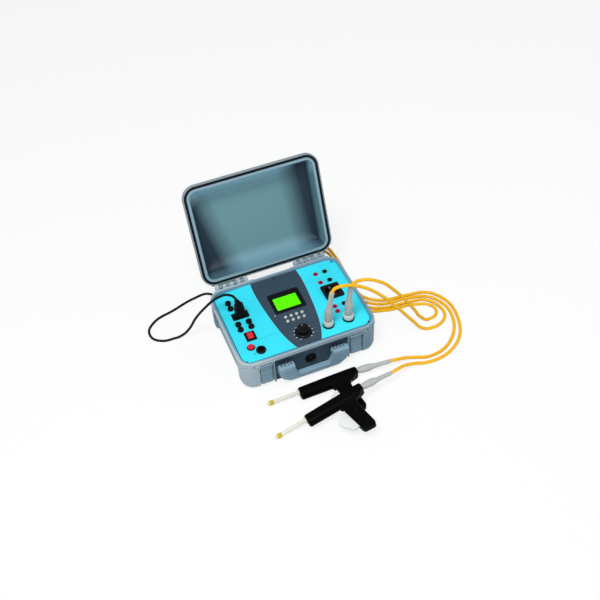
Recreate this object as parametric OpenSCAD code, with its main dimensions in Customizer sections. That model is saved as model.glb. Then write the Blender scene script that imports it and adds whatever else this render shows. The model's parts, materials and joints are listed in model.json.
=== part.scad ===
// Electrical installation tester in a rugged case, with two high voltage probes.
// Origin: centre of the case's underside. X to the right, Y to the back, Z up.

/* [Case] */
// Width of the case over its rim
case_w = 410; // [400:1:430]
// Depth of the case over its rim
case_d = 312; // [308:1:320]
// Height of the lower shell up to its rim
base_h = 108; // [106:1:120]
// Corner radius of the rim seen from above
rim_r = 40; // [34:1:46]
// Height of the double rim
lip_h = 14; // [12:1:18]
// Height of the groove that splits the rim
groove_h = 3; // [2:0.5:4]
// Depth of the groove that splits the rim
groove_d = 2; // [1:0.5:3]
// How far the walls stand back from the rim
rim_step = 7; // [5:0.5:8]
// Thickness of the walls
wall_t = 4; // [3:0.5:5]
// Thickness of the floor
floor_t = 4; // [3:0.5:6]
// Depth of the front recess behind the wall
recess_deep = 8; // [6:0.5:9]
// Distance from the rim's end to the front recess
recess_in = 95; // [93:1:96]
// Distance from the rim to where the corner pads end
pad_len = 49; // [44:1:50]
// Thickness of the ribs beside the recess
rib_t = 4; // [3:0.5:5]

/* [Lid] */
// Height of the lid's rim band
flange_h = 12; // [10:1:14]
// Height of the whole lid
lid_h = 64; // [58:1:70]
// Inset of the lid's tub at its rim band
tub_inset = 13; // [12:1:15]
// Width of the lid's rim face
rim_face = 19; // [18:1:22]
// Thickness of the lid's top
lid_t = 5; // [4:0.5:6]
// Angle that the lid stands open
open_angle = 110; // [95:1:115]
// Width of the seal
seal_w = 7; // [5:0.5:8]
// Distance from the rim to the seal
seal_inset = 4; // [3:0.5:5]
// Depth of the seal in its groove
seal_d = 3; // [2:0.5:4]

/* [Hinge] */
// Distance of the hinge axis behind the rim
hinge_back = 10; // [9:0.5:12]
// Radius of the hinge knuckles
knuckle_r = 6; // [5:0.5:6.5]
// Spacing of the knuckles of one hinge half
hinge_pitch = 22.5; // [22:0.25:23]
// Place of each hinge's inner knuckle
hinge_in = 125.5; // [123:0.5:129]
// Radius of the hinge pins
hinge_pin_r = 2; // [1.5:0.25:2.5]

/* [Latches] */
// Width of a latch
latch_w = 33.4; // [30:0.2:33.4]
// Height of the latch axis
latch_down = 21; // [20:0.5:22]
// Length of a latch from its axis
latch_low = 13; // [11:1:27]
// Thickness of a latch
latch_t = 3; // [2.5:0.25:3]
// Radius of the latch knuckle
latch_r = 3; // [2.5:0.25:3]

/* [Handle] */
// Half width of the handle
handle_gap = 5; // [4:0.5:8]
// Height of the handle axis
handle_down = 48; // [46:1:50]
// Distance of the handle axis in front of the recess wall
handle_out = 15; // [14.5:0.5:16]
// Lowest height of the grip
grip_z = 11; // [9:1:13]
// Height of the grip bar
grip_h = 18; // [15:1:20]
// Depth of the grip bar
grip_d = 16; // [13:1:16]
// Radius of the handle knuckles
ear_r = 8; // [7:0.5:8]
// Spacing of the handle knuckles
ear_pitch = 9.4; // [9.2:0.1:9.5]
// Width of a handle knuckle
ear_w = 5; // [4.5:0.25:5.25]

/* [Panel] */
// Distance from the rim to the panel's opening
panel_inset = 9; // [8.5:0.5:10]
// Thickness of the panel
panel_t = 3; // [2:0.5:4]
// Depth of the panel below the rim
panel_drop = 6; // [4:0.5:8]
// Height of the gap under the panel down to the circuit board
board_gap = 13; // [13:0.5:16]
// Width of the display window
lcd_w = 75; // [70:1:78]
// Depth of the display window
lcd_d = 52; // [48:1:54]
// Radius of a key
key_r = 4.5; // [4:0.25:5]
// Travel of a key
key_travel = 1; // [0.6:0.1:1.2]
// Radius of the rotary knob's skirt
knob_r = 22; // [20:1:23]
// Height of the rotary knob
knob_h = 20; // [16:1:24]
// Radius of the fuse caps
fuse_r = 8.5; // [8:0.25:9]
// Radius of the terminal collars
jack_r = 6.8; // [6:0.2:7.4]
// Radius of the terminal bores
jack_bore_r = 2; // [2:0.05:2.1]
// Depth of the terminal bores
jack_bore_h = 22; // [18:1:24]
// Width and depth of the mains socket
socket_w = 56; // [54:1:58]
// Radius of the mains socket's round recess
socket_r = 20; // [19.5:0.25:21]
// Travel of the start button
button_travel = 2; // [1:0.25:2.5]

/* [Probes] */
// Half the thickness of a probe's barrel
barrel_r = 15; // [13:0.5:16]
// How much higher than thick the barrel's section is
barrel_flat = 10.4; // [8:0.2:12]
// Length of a probe's barrel
barrel_len = 176; // [165:1:185]
// Thickness of a probe's grip
grip_t = 24; // [22:1:28]
// Length of a probe's rod in front of the nose
rod_len = 96; // [80:1:110]
// Radius of a probe's rod
rod_r = 5.25; // [4.5:0.25:5.5]
// Thickness of a trigger
trigger_t = 9.4; // [8:0.2:11]
// Length of the grey boots
boot_len = 105; // [104:0.5:106]
// Largest radius of the grey boots
boot_r = 10.5; // [10:0.25:11]
// Radius of the boots where the lead leaves them
boot_end_r = 6.5; // [5.5:0.25:7]
// Radius of the boots at the probes
thin_boot_r = 8; // [7.5:0.25:9]
// Radius of the high voltage leads
hv_lead_r = 4.25; // [3.75:0.25:4.5]
// Radius of the mains lead
mains_lead_r = 3.5; // [3.25:0.25:3.75]

/* [Hidden] */
$fn = 48;

// Clearances
fit = 0.06;
slip = 0.3;
play = 0.25;

// Colours
shell_colour = [0.42, 0.50, 0.56];
black_colour = [0.06, 0.06, 0.07];
steel_colour = [0.75, 0.76, 0.78];
yellow_colour = [0.95, 0.70, 0.10];

// Heights in the case
panel_z = base_h - panel_drop;
panel_under = panel_z - panel_t;
board_z = panel_under - board_gap;
board_t = 1.6;
lip_z = base_h - lip_h;
groove_z = base_h - panel_drop - groove_h;
wall_y = case_d / 2 - rim_step;
recess_x = case_w / 2 - recess_in;
recess_y = -wall_y + recess_deep;

// Hinge and handle axes
hinge_y = case_d / 2 + hinge_back;
hinge_z = base_h + 2;
hinge_x = case_w / 2 - hinge_in;
handle_x = recess_x - handle_gap;
handle_z = base_h - handle_down;
handle_y = recess_y - handle_out;
handle_front = handle_y - 19;
knuckle_w = hinge_pitch / 2 - 2 * play;
latch_x = (recess_x + rib_t + case_w / 2 - pad_len) / 2 + 1;
latch_y = -wall_y - 5.5;
latch_z = base_h - latch_down;
latch_len = latch_z - latch_low;
valve_z = handle_z - 17;
corner_hole_x = case_w / 2 - 35;
foot_x = recess_x + 20;

// Places on the panel, from its centre
lcd_at = [0, 34.5];
bezel_at = [1, 38.5];
bezel_size = [96, 80];
key_xs = [-25.2, -8.4, 8.4, 25.2];
key_ys = [-22, -39];
knob_at = [0, -95];
fuse_at = [[-159, 97], [-159, 74], [-159, 6], [-159, -15], [-127, 6], [-127, -15]];
inlet_at = [-141.5, 39];
rocker_at = [-141.5, -47];
button_at = [-154.5, -88];
lamp_at = [-132, -109];
led_at = [-51, -4];
jack_ys = [104, 65.5, -40.5, -61];
red_x = 119.5;
black_x = 149;
socket_at = [136.5, 17.5];
hv_at = [[75, -99], [136.5, -99]];
hv_lean = [7.5, 4.6];
screw_x = case_w / 2 - 22;
screw_y = case_d / 2 - 22;
screw_at = [[-screw_x, screw_y], [screw_x, screw_y], [-screw_x, -screw_y], [screw_x, -screw_y],
    [0, screw_y + 7], [0, -screw_y - 7]];
post_at = [[-56, 84], [56, 84], [-56, -118], [56, -118]];

// Pieces on the panel
key_flange = 1;
key_flange_h = 2;
key_up = 3;
key_down = key_flange_h + key_travel + 1.7;
shaft_r = 3;
knob_lift = 0.3;
holder_r = 6.3;
cap_stem_r = 4.9;
cap_h = 8;
collar_h = 2.5;
rocker_size = [26, 31];
rocker_tilt = 8;
rocker_z = panel_z - 1;
inlet_size = [50, 28];
inlet_hole = [24.8, 16.8];
inlet_deep = 16;
inlet_pins = [[-7, -1], [0, 3], [7, -1]];
flange_t = 2;
button_r = 9.5;
lamp_r = 14;
neck_r = 10;
nut_r = 15;
nut_h = 16;
hv_flange_h = 4;
neck_h = 15;
screw_r = 1.5;
socket_h = 6;
socket_deep = 17.5;
pin_hole_r = 2.5;
pin_hole_h = 19;

// Probes: place of the barrel's rear end, turn on the floor, rise of the rear and lean of the grip.
// The second probe lies across the first one's grip.
probe_at = [[106, -218.2, barrel_r], [83.3, -301.8, 50.1]];
probe_turn = [1.7, 6.9];
probe_rise = [0, 9.39];
probe_roll = [0, -2.4];
boot_turn = [-8.4, 3.2];
boot_drop = [-4.1, 13.9];
barrel_mid = -6.6;
boot_sink = 3.5;
boot_recess = boot_sink + 2.3;
pivot_at = [-67.5, -99];
trigger_pin_r = 2;

// Routes of the leads
hv_route_1 = [[88, -99, 222], [94, -99, 236], [112, -103, 244], [140, -109, 242], [180, -116, 222],
    [226, -125, 180], [274, -134, 117], [324, -143, 45], [346, -148, 16], [372, -152, 4.3],
    [410, -148, 4.3], [438, -122, 4.3], [438, -80, 4.3], [413, -43, 4.3], [360, -30, 4.3],
    [280, -20, 4.3], [236, 8, 4.3], [217, 60, 4.3], [214, 150, 4.3], [188, 198, 4.3],
    [162, 240, 4.3], [166, 280, 4.3], [198, 298, 4.3], [226, 276, 4.3], [230, 230, 4.3],
    [227, 100, 4.3], [238, 35, 4.3], [280, -2, 4.3], [370, -15, 4.3], [426, -34, 4.3],
    [456, -84, 4.3], [451, -150, 4.3], [414, -210, 4.3], [360, -243, 4.3], [314, -246, 4.3],
    [281, -236, 8], [247, -232, 17], [228, -232.4, 21], [206.5, -230.6, 22.5]];
hv_route_2 = [[144, -99, 222], [150, -100, 234], [162, -100, 240], [180, -101, 239],
    [221, -104, 221], [247, -107, 200], [273, -109, 167], [298, -111, 132], [339, -114, 62],
    [360, -116, 24], [386, -118, 4.3], [412, -112, 4.3], [424, -88, 4.3], [410, -62, 4.3],
    [380, -48, 4.3], [290, -34, 4.3], [236, -12, 4.3], [208, 35, 4.3], [203, 130, 4.3],
    [178, 186, 4.3], [148, 232, 4.3], [150, 288, 4.3], [190, 316, 4.3], [232, 298, 4.3],
    [243, 245, 4.3], [238, 110, 4.3], [250, 45, 4.3], [290, 11, 4.3], [370, -2, 4.3],
    [434, -18, 4.3], [469, -70, 4.3], [467, -150, 4.3], [430, -222, 4.3], [375, -258, 4.3],
    [336, -266, 4.3], [305, -264.4, 4.3], [268, -259.3, 12.5], [230, -265.5, 27.5],
    [206, -276.3, 37.5], [182.9, -283.9, 41.2]];
mains_route_1 = [[-146, 42, 166], [-153, 46, 180], [-170, 55, 185], [-192, 66, 173],
    [-231, 86, 128], [-259, 100, 85], [-284, 113, 34], [-301, 121, 12], [-324, 124, 3.6],
    [-362, 128, 3.6], [-388, 148, 3.6], [-392, 184, 3.6], [-366, 214, 3.6], [-300, 236, 3.6],
    [-230, 258, 3.6], [-182, 260, 3.6], [-157, 238, 3.6]];
mains_route_2 = [[-108, 192, 3.6], [-84, 190, 5], [-58, 194, 14], [-44, 196, 18]];
coil_at = [-112, 235];
coil_in_r = 32;
coil_out_r = 53;
coil_h = 14;
end_plug_at = [-46, 196, 18];

function unit(v) = v / norm(v);
function tangent(p, i) = unit(p[min(i + 1, len(p) - 1)] - p[max(i - 1, 0)]);
function carried(u, t) = unit(u - (u * t) * t);
function frames(p, i = 0, u = [0, 1, 0]) = i == len(p) ? [] :
    let (t = tangent(p, i), v = carried(u, t)) concat([[v, cross(t, v)]], frames(p, i + 1, v));

// A lead: one ring of points round each point of its route
module lead(route, r, sides = 8) {
    n = len(route);
    f = frames(route);
    points = [for (i = [0 : n - 1], k = [0 : sides - 1]) route[i] +
        r * (cos(360 * k / sides) * f[i][0] + sin(360 * k / sides) * f[i][1])];
    walls = [for (i = [0 : n - 2], k = [0 : sides - 1])
        let (a = i * sides + k, b = i * sides + (k + 1) % sides) [a, a + sides, b + sides, b]];
    first = [for (k = [0 : sides - 1]) k];
    last = [for (k = [0 : sides - 1]) n * sides - 1 - k];
    polyhedron(points, concat([first], walls, [last]));
}

// Rectangle with round corners
module rounded(size, r) {
    square([size[0] - 2 * r, size[1]], center = true);
    square([size[0], size[1] - 2 * r], center = true);
    for (x = [-1, 1], y = [-1, 1])
        translate([x * (size[0] / 2 - r), y * (size[1] / 2 - r)]) circle(r);
}

module block(at, size, r, z0, z1)
    translate([at[0], at[1], z0]) linear_extrude(z1 - z0) rounded(size, r);

// The rim's outline, set in by inset, from z0 to z1
module rim_slab(inset, z0, z1, r = 0)
    block([0, 0], [case_w - 2 * inset, case_d - 2 * inset], max(rim_r - inset, r, 6), z0, z1);

// A shell's outer or inner form: levels are pairs of height and inset
module form(levels, r = 0)
    hull() for (level = levels) rim_slab(level[1], level[0], level[0] + 0.05, r, $fn = 32);

module disc(at, r, z0, z1) translate([at[0], at[1], z0]) cylinder(r = r, h = z1 - z0);

// A round bar along X, from x0 to x1
module bar_x(y, z, r, x0, x1)
    translate([min(x0, x1), y, z]) rotate([0, 90, 0]) cylinder(r = r, h = abs(x1 - x0));

module box_at(low, high) translate(low) cube(high - low);

// The same box on the left and on the right
module both(low, high) {
    box_at(low, high);
    box_at([-high[0], low[1], low[2]], [-low[0], high[1], high[2]]);
}

// A round bar on the left and on the right
module both_bars(y, z, r, x0, x1) {
    bar_x(y, z, r, x0, x1);
    bar_x(y, z, r, -x0, -x1);
}

function base_knuckle(i) = hinge_x + i * hinge_pitch;
function lid_knuckle(i) = hinge_x + (i + 0.5) * hinge_pitch;
function ear(i) = handle_x - 45 + i * ear_pitch;
function lug(i) = ear(i + 0.5);
lug_w = ear_pitch - ear_w - 2 * slip;

module shell_body() difference() {
    union() {
        form([[0, rim_step + 11], [3, rim_step + 6.5], [9, rim_step + 3], [20, rim_step + 1.5],
            [lip_z, rim_step]]);
        rim_slab(0, lip_z, groove_z);
        rim_slab(groove_d, groove_z - 0.5, panel_z + 0.5);
        rim_slab(0, panel_z, base_h);
        intersection() {
            form([[0, 13], [8, 4], [20, 0.8], [lip_z, 0]]);
            for (x = [-1, 1], y = [-1, 1]) translate([x * case_w / 2, y * case_d / 2, lip_z / 2])
                cube([2 * pad_len, 2 * pad_len, lip_z + 1], center = true);
        }
    }
    form([[floor_t, rim_step + wall_t + 8], [12, rim_step + wall_t + 4],
        [24, rim_step + wall_t + 2], [panel_under, rim_step + wall_t]]);
    rim_slab(panel_inset, panel_under, base_h + 1);
}

module case_base() color(shell_colour) difference() {
    union() {
        difference() {
            union() {
                shell_body();
                box_at([-recess_x - rib_t, -wall_y + 2, floor_t - 1],
                    [recess_x + rib_t, recess_y + wall_t, panel_under]);
                for (p = screw_at) disc(p, 6, panel_under - 20, panel_under);
            }
            box_at([-recess_x, -wall_y - 12, 6], [recess_x, recess_y, lip_z - 2]);
        }
        both([recess_x, -wall_y - 6, 6], [recess_x + rib_t, -wall_y + 6, lip_z]);
        latch_lugs();
        for (i = [0 : 3], s = [-1, 1]) handle_lug(s * lug(i));
        hinge_strip(-1);
        for (i = [0 : 4], s = [-1, 1]) hinge_knuckle(s * base_knuckle(i), -1);
    }
    for (s = [-1, 1]) translate([s * corner_hole_x, -case_d / 2 - 1, lip_z + 1.5])
        rotate([-90, 0, 0]) cylinder(r = 3, h = 7);
    both_bars(latch_y, latch_z, latch_r / 2 + fit, recess_x, latch_x * 2 - recess_x);
    both_bars(handle_y, handle_z, hinge_pin_r + fit, ear(0), ear(4));
    both_bars(hinge_y, hinge_z, hinge_pin_r + fit, hinge_x - 20, base_knuckle(4) + 20);
    translate([0, recess_y - 1, valve_z]) rotate([-90, 0, 0]) cylinder(r = 9, h = wall_t + 2);
    for (p = screw_at) disc(p, screw_r + fit, panel_under - 14, panel_under + 1);
    for (y = [-0.6, -0.3, 0.3, 0.6] * wall_y) box_at([-foot_x, y - 6, -1], [foot_x, y + 6, 1.5]);
}

// Ears that carry the latch pins, beside the rib and beside the corner pad
module latch_lugs() for (s = [-1, 1], e = [-1, 1]) {
    edge = latch_x + e * (latch_w / 2 + play);
    bar_x(latch_y, latch_z, latch_r + 0.6, s * edge, s * (edge + e * 3));
    box_at([min(s * edge, s * (edge + e * 3)), latch_y, latch_z - 3],
        [max(s * edge, s * (edge + e * 3)), -wall_y + 2, latch_z + 3]);
}

module handle_lug(x) {
    bar_x(handle_y, handle_z, ear_r, x - lug_w / 2, x + lug_w / 2);
    box_at([x - lug_w / 2, handle_y, handle_z - ear_r], [x + lug_w / 2, recess_y + 1, handle_z + 6]);
}

// Side is -1 for the base's half below the axis and 1 for the lid's half above it
module hinge_knuckle(x, side) {
    bar_x(hinge_y, hinge_z, knuckle_r, x - knuckle_w / 2, x + knuckle_w / 2);
    box_at([x - knuckle_w / 2, case_d / 2 - 2, min(hinge_z + side * 2, hinge_z + side * knuckle_r)],
        [x + knuckle_w / 2, hinge_y, max(hinge_z + side * 2, hinge_z + side * knuckle_r)]);
}

module hinge_strip(side) both(
    [hinge_x - 21.5, case_d / 2 - 2, min(hinge_z + side * 2, hinge_z + side * 12)],
    [base_knuckle(4) + 12.5, hinge_y - knuckle_r - 1, max(hinge_z + side * 2, hinge_z + side * 12)]);

// Everything on the lid is drawn closed and swung open about the hinge
module swung() translate([0, hinge_y, hinge_z]) rotate([-open_angle, 0, 0])
    translate([0, -hinge_y, -hinge_z]) children();

module case_lid() color(shell_colour) swung() difference() {
    union() {
        rim_slab(0, base_h, base_h + flange_h * 0.35);
        rim_slab(groove_d * 0.6, base_h + flange_h * 0.3, base_h + flange_h * 0.65);
        rim_slab(0, base_h + flange_h * 0.6, base_h + flange_h);
        form([[base_h + flange_h - 0.5, tub_inset], [base_h + lid_h - 22, tub_inset + 14],
            [base_h + lid_h - 7, tub_inset + 27], [base_h + lid_h - 0.05, tub_inset + 41]], 14);
        for (i = [0 : 3], s = [-1, 1]) hinge_knuckle(s * lid_knuckle(i), 1);
        hinge_strip(1);
    }
    form([[base_h - 1, rim_face], [base_h + 4, rim_face],
        [base_h + lid_h - lid_t - 21, rim_face + 13], [base_h + lid_h - lid_t - 7, rim_face + 27],
        [base_h + lid_h - lid_t, rim_face + 41]], 12);
    difference() {
        rim_slab(seal_inset, base_h - 1, base_h + seal_d);
        rim_slab(seal_inset + seal_w, base_h - 2, base_h + seal_d + 1);
    }
    rim_slab(78, base_h + lid_h - 1, base_h + lid_h + 1, 12);
    both_bars(hinge_y, hinge_z, hinge_pin_r + fit, hinge_x - 20, base_knuckle(4) + 20);
}

module lid_gasket() color(black_colour) swung() difference() {
    rim_slab(seal_inset + 0.1, base_h - 0.6, base_h + seal_d);
    rim_slab(seal_inset + seal_w - 0.1, base_h - 2, base_h + seal_d + 1);
}

module lid_hinge_pins() color(steel_colour)
    both_bars(hinge_y, hinge_z, hinge_pin_r, hinge_x - knuckle_w / 2 - 1,
        base_knuckle(4) + knuckle_w / 2 + 1);

// A latch hangs in its recess and swings up in front of the rim
module latch(x) color(shell_colour) {
    difference() {
        union() {
            bar_x(latch_y, latch_z, latch_r, x - latch_w / 2, x + latch_w / 2);
            translate([x - latch_w / 2, latch_y, latch_z]) rotate([90, 0, 90])
                linear_extrude(latch_w) polygon([[0, -latch_r], [2, 0], [5 - 0.1, 0],
                    [5 - 0.1, -latch_len + 6], [5 - latch_t, -latch_len], [5 - latch_t - 1.5, -latch_len],
                    [5 - latch_t, -latch_len + 8], [5 - latch_t, -38], [1, -36], [1, -34],
                    [5 - latch_t, -33], [5 - latch_t, -8], [-latch_r, -2], [-latch_r, 0]]);
        }
        bar_x(latch_y, latch_z, 0.6, x - latch_w / 2 - 1, x - latch_w / 2 + 0.5);
    }
    bar_x(latch_y, latch_z, latch_r / 2, x - latch_w / 2 - 2.8, x + latch_w / 2 + 2.8);
}

module latch_left() latch(-latch_x);
module latch_right() latch(latch_x);

// The handle seen from the front
half_outline = [[handle_x - 35, grip_z], [handle_x - 9, handle_z - 30], [handle_x, handle_z - 10],
    [handle_x, handle_z + 12], [handle_x - 47.5, handle_z + 12], [handle_x - 47.5, handle_z - 6],
    [handle_x - 59, grip_z + grip_h]];
handle_outline = concat(half_outline, [for (i = [6 : -1 : 0]) [-half_outline[i][0], half_outline[i][1]]]);
// The handle's section, which rounds its front edges
handle_section = [[0, 5], [grip_d - 5, 5], [grip_d - 1.5, grip_z + 2], [grip_d, grip_z + 6],
    [grip_d, handle_z + 4], [grip_d - 1.5, handle_z + 9], [grip_d - 5, handle_z + 13], [0, handle_z + 13]];

module carry_handle() color(shell_colour) difference() {
    union() {
        intersection() {
            translate([0, handle_front + grip_d, 0]) rotate([90, 0, 0])
                linear_extrude(grip_d) polygon(handle_outline);
            translate([-recess_x, handle_front + grip_d, 0]) rotate([90, 0, 90])
                linear_extrude(2 * recess_x) mirror([1, 0]) polygon(handle_section);
        }
        for (i = [0 : 4], s = [-1, 1])
            bar_x(handle_y, handle_z, ear_r, s * ear(i) - ear_w / 2, s * ear(i) + ear_w / 2);
    }
    for (i = [0 : 3], s = [-1, 1]) {
        gap = ear_pitch - ear_w;
        bar_x(handle_y, handle_z, ear_r + 0.8, s * lug(i) - gap / 2, s * lug(i) + gap / 2);
        box_at([s * lug(i) - gap / 2, handle_y - ear_r - 0.8, handle_z],
            [s * lug(i) + gap / 2, handle_y + 10, handle_z + 20]);
    }
    both_bars(handle_y, handle_z, hinge_pin_r + fit, ear(0) - 10, ear(4) + 1);
    both_bars(handle_y, handle_z, 4, ear(0) - 10, ear(0) + 0.5);
    slot_x = handle_x - 62;
    box_at([-slot_x, handle_front + 9, grip_z + grip_h - 2], [slot_x, handle_front + 12, 40]);
    both([handle_x - 37, handle_front - 1, handle_z - 14], [handle_x - 17, handle_front + 2, handle_z - 10]);
    both([handle_x - 25, handle_front - 1, handle_z - 27], [handle_x - 17, handle_front + 2, handle_z - 24]);
}

module handle_pins() color(steel_colour)
    both_bars(handle_y, handle_z, hinge_pin_r, ear(0) + 0.5, ear(4) + 1);

module pressure_valve() color(black_colour) translate([0, recess_y, valve_z]) rotate([90, 0, 0]) {
    rotate_extrude() polygon([[0, -wall_t], [8.9, -wall_t], [8.9, 0], [16.5, 0], [16.5, 3],
        [14.5, 5], [11, 5], [10, 3.5], [6, 3.5], [5, 6], [0, 6]]);
}

module panel_holes(extra = 0) {
    block(lcd_at, [lcd_w + 2 * slip, lcd_d + 2 * slip], 2, panel_under - 1, panel_z + 1);
    for (x = key_xs, y = key_ys) disc([x, y], key_r + play, panel_under - 1, panel_z + 1);
    disc(knob_at, 5, panel_under - 1, panel_z + 1);
    block(inlet_at, inlet_hole + [4, 4], 3, panel_under - 1, panel_z + 1);
    block(rocker_at, rocker_size + [5, 5], 2, panel_under - 1, panel_z + 1);
    for (p = fuse_at) disc(p, holder_r, panel_under - 1, panel_z + 1);
    for (y = jack_ys, x = [red_x, black_x]) disc([x, y], 6, panel_under - 1, panel_z + 1);
    disc(socket_at, socket_r + 3, panel_under - 1, panel_z + 1);
    for (p = hv_at) disc(p, neck_r, panel_under - 1, panel_z + 1);
    disc(button_at, button_r + 1, panel_under - 1, panel_z + 1);
    disc(lamp_at, lamp_r - 3, panel_under - 1, panel_z + 1);
    disc(led_at, 2, panel_under - 1, panel_z + 1);
    for (p = screw_at) disc(p, screw_r + play, panel_under - 1, panel_z + 1);
}

module front_panel() color([0.27, 0.80, 0.95]) {
    difference() {
        rim_slab(panel_inset + slip, panel_under, panel_z, 24);
        panel_holes();
    }
    for (p = post_at) disc(p, 3.5, board_z + board_t, panel_under);
}

module panel_screws() color(steel_colour) for (p = screw_at) {
    disc(p, screw_r, panel_under - 10, panel_z);
    disc(p, 3, panel_z, panel_z + 1.2);
}

module lcd_bezel() color(black_colour) difference() {
    block(bezel_at, bezel_size, 5, panel_z, panel_z + 2.5);
    block(lcd_at, [lcd_w + 2 * slip, lcd_d + 2 * slip], 2, panel_z - 1, panel_z + 4);
}

module lcd_module() color([0.35, 0.95, 0.10]) {
    block(lcd_at, [lcd_w, lcd_d], 2, panel_under, panel_z + 1);
    block(lcd_at, [lcd_w + 11, lcd_d + 12], 2, panel_under - board_t, panel_under);
}

module key(i) color([0.80, 0.84, 0.84]) {
    at = [key_xs[i % 4], key_ys[floor(i / 4)]];
    top = panel_under - play;
    disc(at, key_r, top - key_down, panel_z + key_up - 0.6);
    disc(at, key_r - 0.6, panel_z + key_up - 1, panel_z + key_up);
    disc(at, key_r + key_flange, top - key_flange_h, top);
}

module key_1() key(0);
module key_2() key(1);
module key_3() key(2);
module key_4() key(3);
module key_5() key(4);
module key_6() key(5);
module key_7() key(6);
module key_8() key(7);

module key_mat() color([0.25, 0.26, 0.28]) {
    mid = (key_ys[0] + key_ys[1]) / 2;
    block([0, mid], [70, 36], 3, board_z + board_t, board_z + board_t + 2);
    for (x = key_xs, y = key_ys)
        disc([x, y], 4, board_z + board_t + 2, panel_under - play - key_down - key_travel - 0.2);
}

module range_knob() color(black_colour) translate([knob_at[0], knob_at[1], panel_z + knob_lift])
    difference() {
        rotate_extrude() polygon([[0, 0], [knob_r - 1, 0], [knob_r, 1], [knob_r, 2.5],
            [knob_r - 3, 5], [knob_r - 6.5, 6.5], [knob_r - 7.5, 8], [knob_r - 8.5, knob_h - 2],
            [knob_r - 10.5, knob_h], [0, knob_h]]);
        translate([0, 0, -1]) cylinder(r = shaft_r + fit, h = 13);
        for (i = [0 : 11]) rotate([0, 0, 15 + 30 * i]) translate([knob_r - 5.6, 0, 7])
            cylinder(r = 2.2, h = knob_h, $fn = 24);
        box_at([-0.8, 2, knob_h - 1], [0.8, knob_r, knob_h + 1]);
    }

module rotary_switch() color([0.55, 0.56, 0.55]) {
    disc(knob_at, 13, board_z + board_t, panel_under);
    disc(knob_at, 4.8, panel_under, panel_z);
    disc(knob_at, shaft_r, panel_z, panel_z + knob_lift + 11);
}

module mains_inlet() color(black_colour) {
    difference() {
        union() {
            block(inlet_at, inlet_size, 4, panel_z, panel_z + flange_t);
            block(inlet_at, inlet_hole + [4, 4], 3, panel_z - inlet_deep - 2, panel_z + 1);
        }
        block(inlet_at, inlet_hole, 2.5, panel_z + flange_t - inlet_deep, panel_z + 5);
        for (x = [-1, 1]) disc(inlet_at + [x * 20, 0], 1.6, panel_z - 1, panel_z + 5);
    }
    for (p = inlet_pins) translate([inlet_at[0] + p[0] - 1, inlet_at[1] + p[1] - 2, panel_z - inlet_deep])
        cube([2, 4, inlet_deep - 3]);
}

module mains_switch() color(black_colour) difference() {
    union() {
        block(rocker_at, rocker_size + [8, 8], 3, panel_z, panel_z + 2);
        block(rocker_at, rocker_size + [5, 5], 2, panel_z - 22, panel_z + 1);
    }
    block(rocker_at, rocker_size + [2 * play, 2.4], 1, panel_z - 9, panel_z + 5);
    bar_x(rocker_at[1], rocker_z, 1.5 + fit, rocker_at[0] - 15, rocker_at[0] + 15);
}

module mains_rocker() color([0.90, 0.10, 0.12])
    translate([rocker_at[0], rocker_at[1], rocker_z]) rotate([rocker_tilt, 0, 0]) {
        translate([-rocker_size[0] / 2, 0, 0]) rotate([90, 0, 90]) linear_extrude(rocker_size[0])
            polygon([[-rocker_size[1] / 2, -1], [-5, -5], [5, -5], [rocker_size[1] / 2, -1],
                [rocker_size[1] / 2, 5.4], [0, 4.2], [-rocker_size[1] / 2, 5.4]]);
        bar_x(0, 0, 1.5, -rocker_size[0] / 2 - 1.8, rocker_size[0] / 2 + 1.8);
    }

module fuse_holders() color(black_colour) for (p = fuse_at) difference() {
    union() {
        disc(p, fuse_r + 0.5, panel_z, panel_z + 1);
        disc(p, holder_r, panel_z - 30, panel_z + 1);
    }
    disc(p, cap_stem_r + fit, panel_z - 26, panel_z + 3);
}

module fuse_cap(i) color(black_colour) translate([fuse_at[i][0], fuse_at[i][1], panel_z + 1.2])
    difference() {
        union() {
            translate([0, 0, -14]) cylinder(r = cap_stem_r, h = 15);
            rotate_extrude() polygon([[0, 0], [fuse_r, 0], [fuse_r, cap_h - 3], [fuse_r - 1.5, cap_h - 1],
                [fuse_r - 3, cap_h - 0.2], [0, cap_h - 0.2]]);
        }
        box_at([-5, -0.8, cap_h - 2], [5, 0.8, cap_h + 1]);
    }

module fuse_cap_1() fuse_cap(0);
module fuse_cap_2() fuse_cap(1);
module fuse_cap_3() fuse_cap(2);
module fuse_cap_4() fuse_cap(3);
module fuse_cap_5() fuse_cap(4);
module fuse_cap_6() fuse_cap(5);

module jack(at) difference() {
    translate([at[0], at[1], panel_z]) rotate_extrude() polygon([[0, -24], [6, -24], [6, 0],
        [jack_r, 0], [jack_r, collar_h - 0.8], [jack_r - 0.8, collar_h], [0, collar_h]]);
    disc(at, jack_bore_r, panel_z + collar_h - jack_bore_h, panel_z + collar_h + 1);
    disc(at, jack_bore_r + 2.4, panel_z + collar_h - 1, panel_z + collar_h + 1);
}

module red_jacks() color([0.75, 0.05, 0.15]) for (y = jack_ys) jack([red_x, y]);
module black_jacks() color(black_colour) for (y = jack_ys) jack([black_x, y]);

module mains_socket() color(black_colour) difference() {
    union() {
        block(socket_at, [socket_w, socket_w], 4, panel_z, panel_z + socket_h);
        disc(socket_at, socket_r + 3, panel_z + socket_h - socket_deep - pin_hole_h - 2, panel_z + 1);
    }
    disc(socket_at, socket_r, panel_z + socket_h - socket_deep, panel_z + socket_h + 1);
    for (x = [-9.5, 9.5])
        disc(socket_at + [x, 0], pin_hole_r, panel_z + socket_h - socket_deep - pin_hole_h, panel_z);
}

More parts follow.
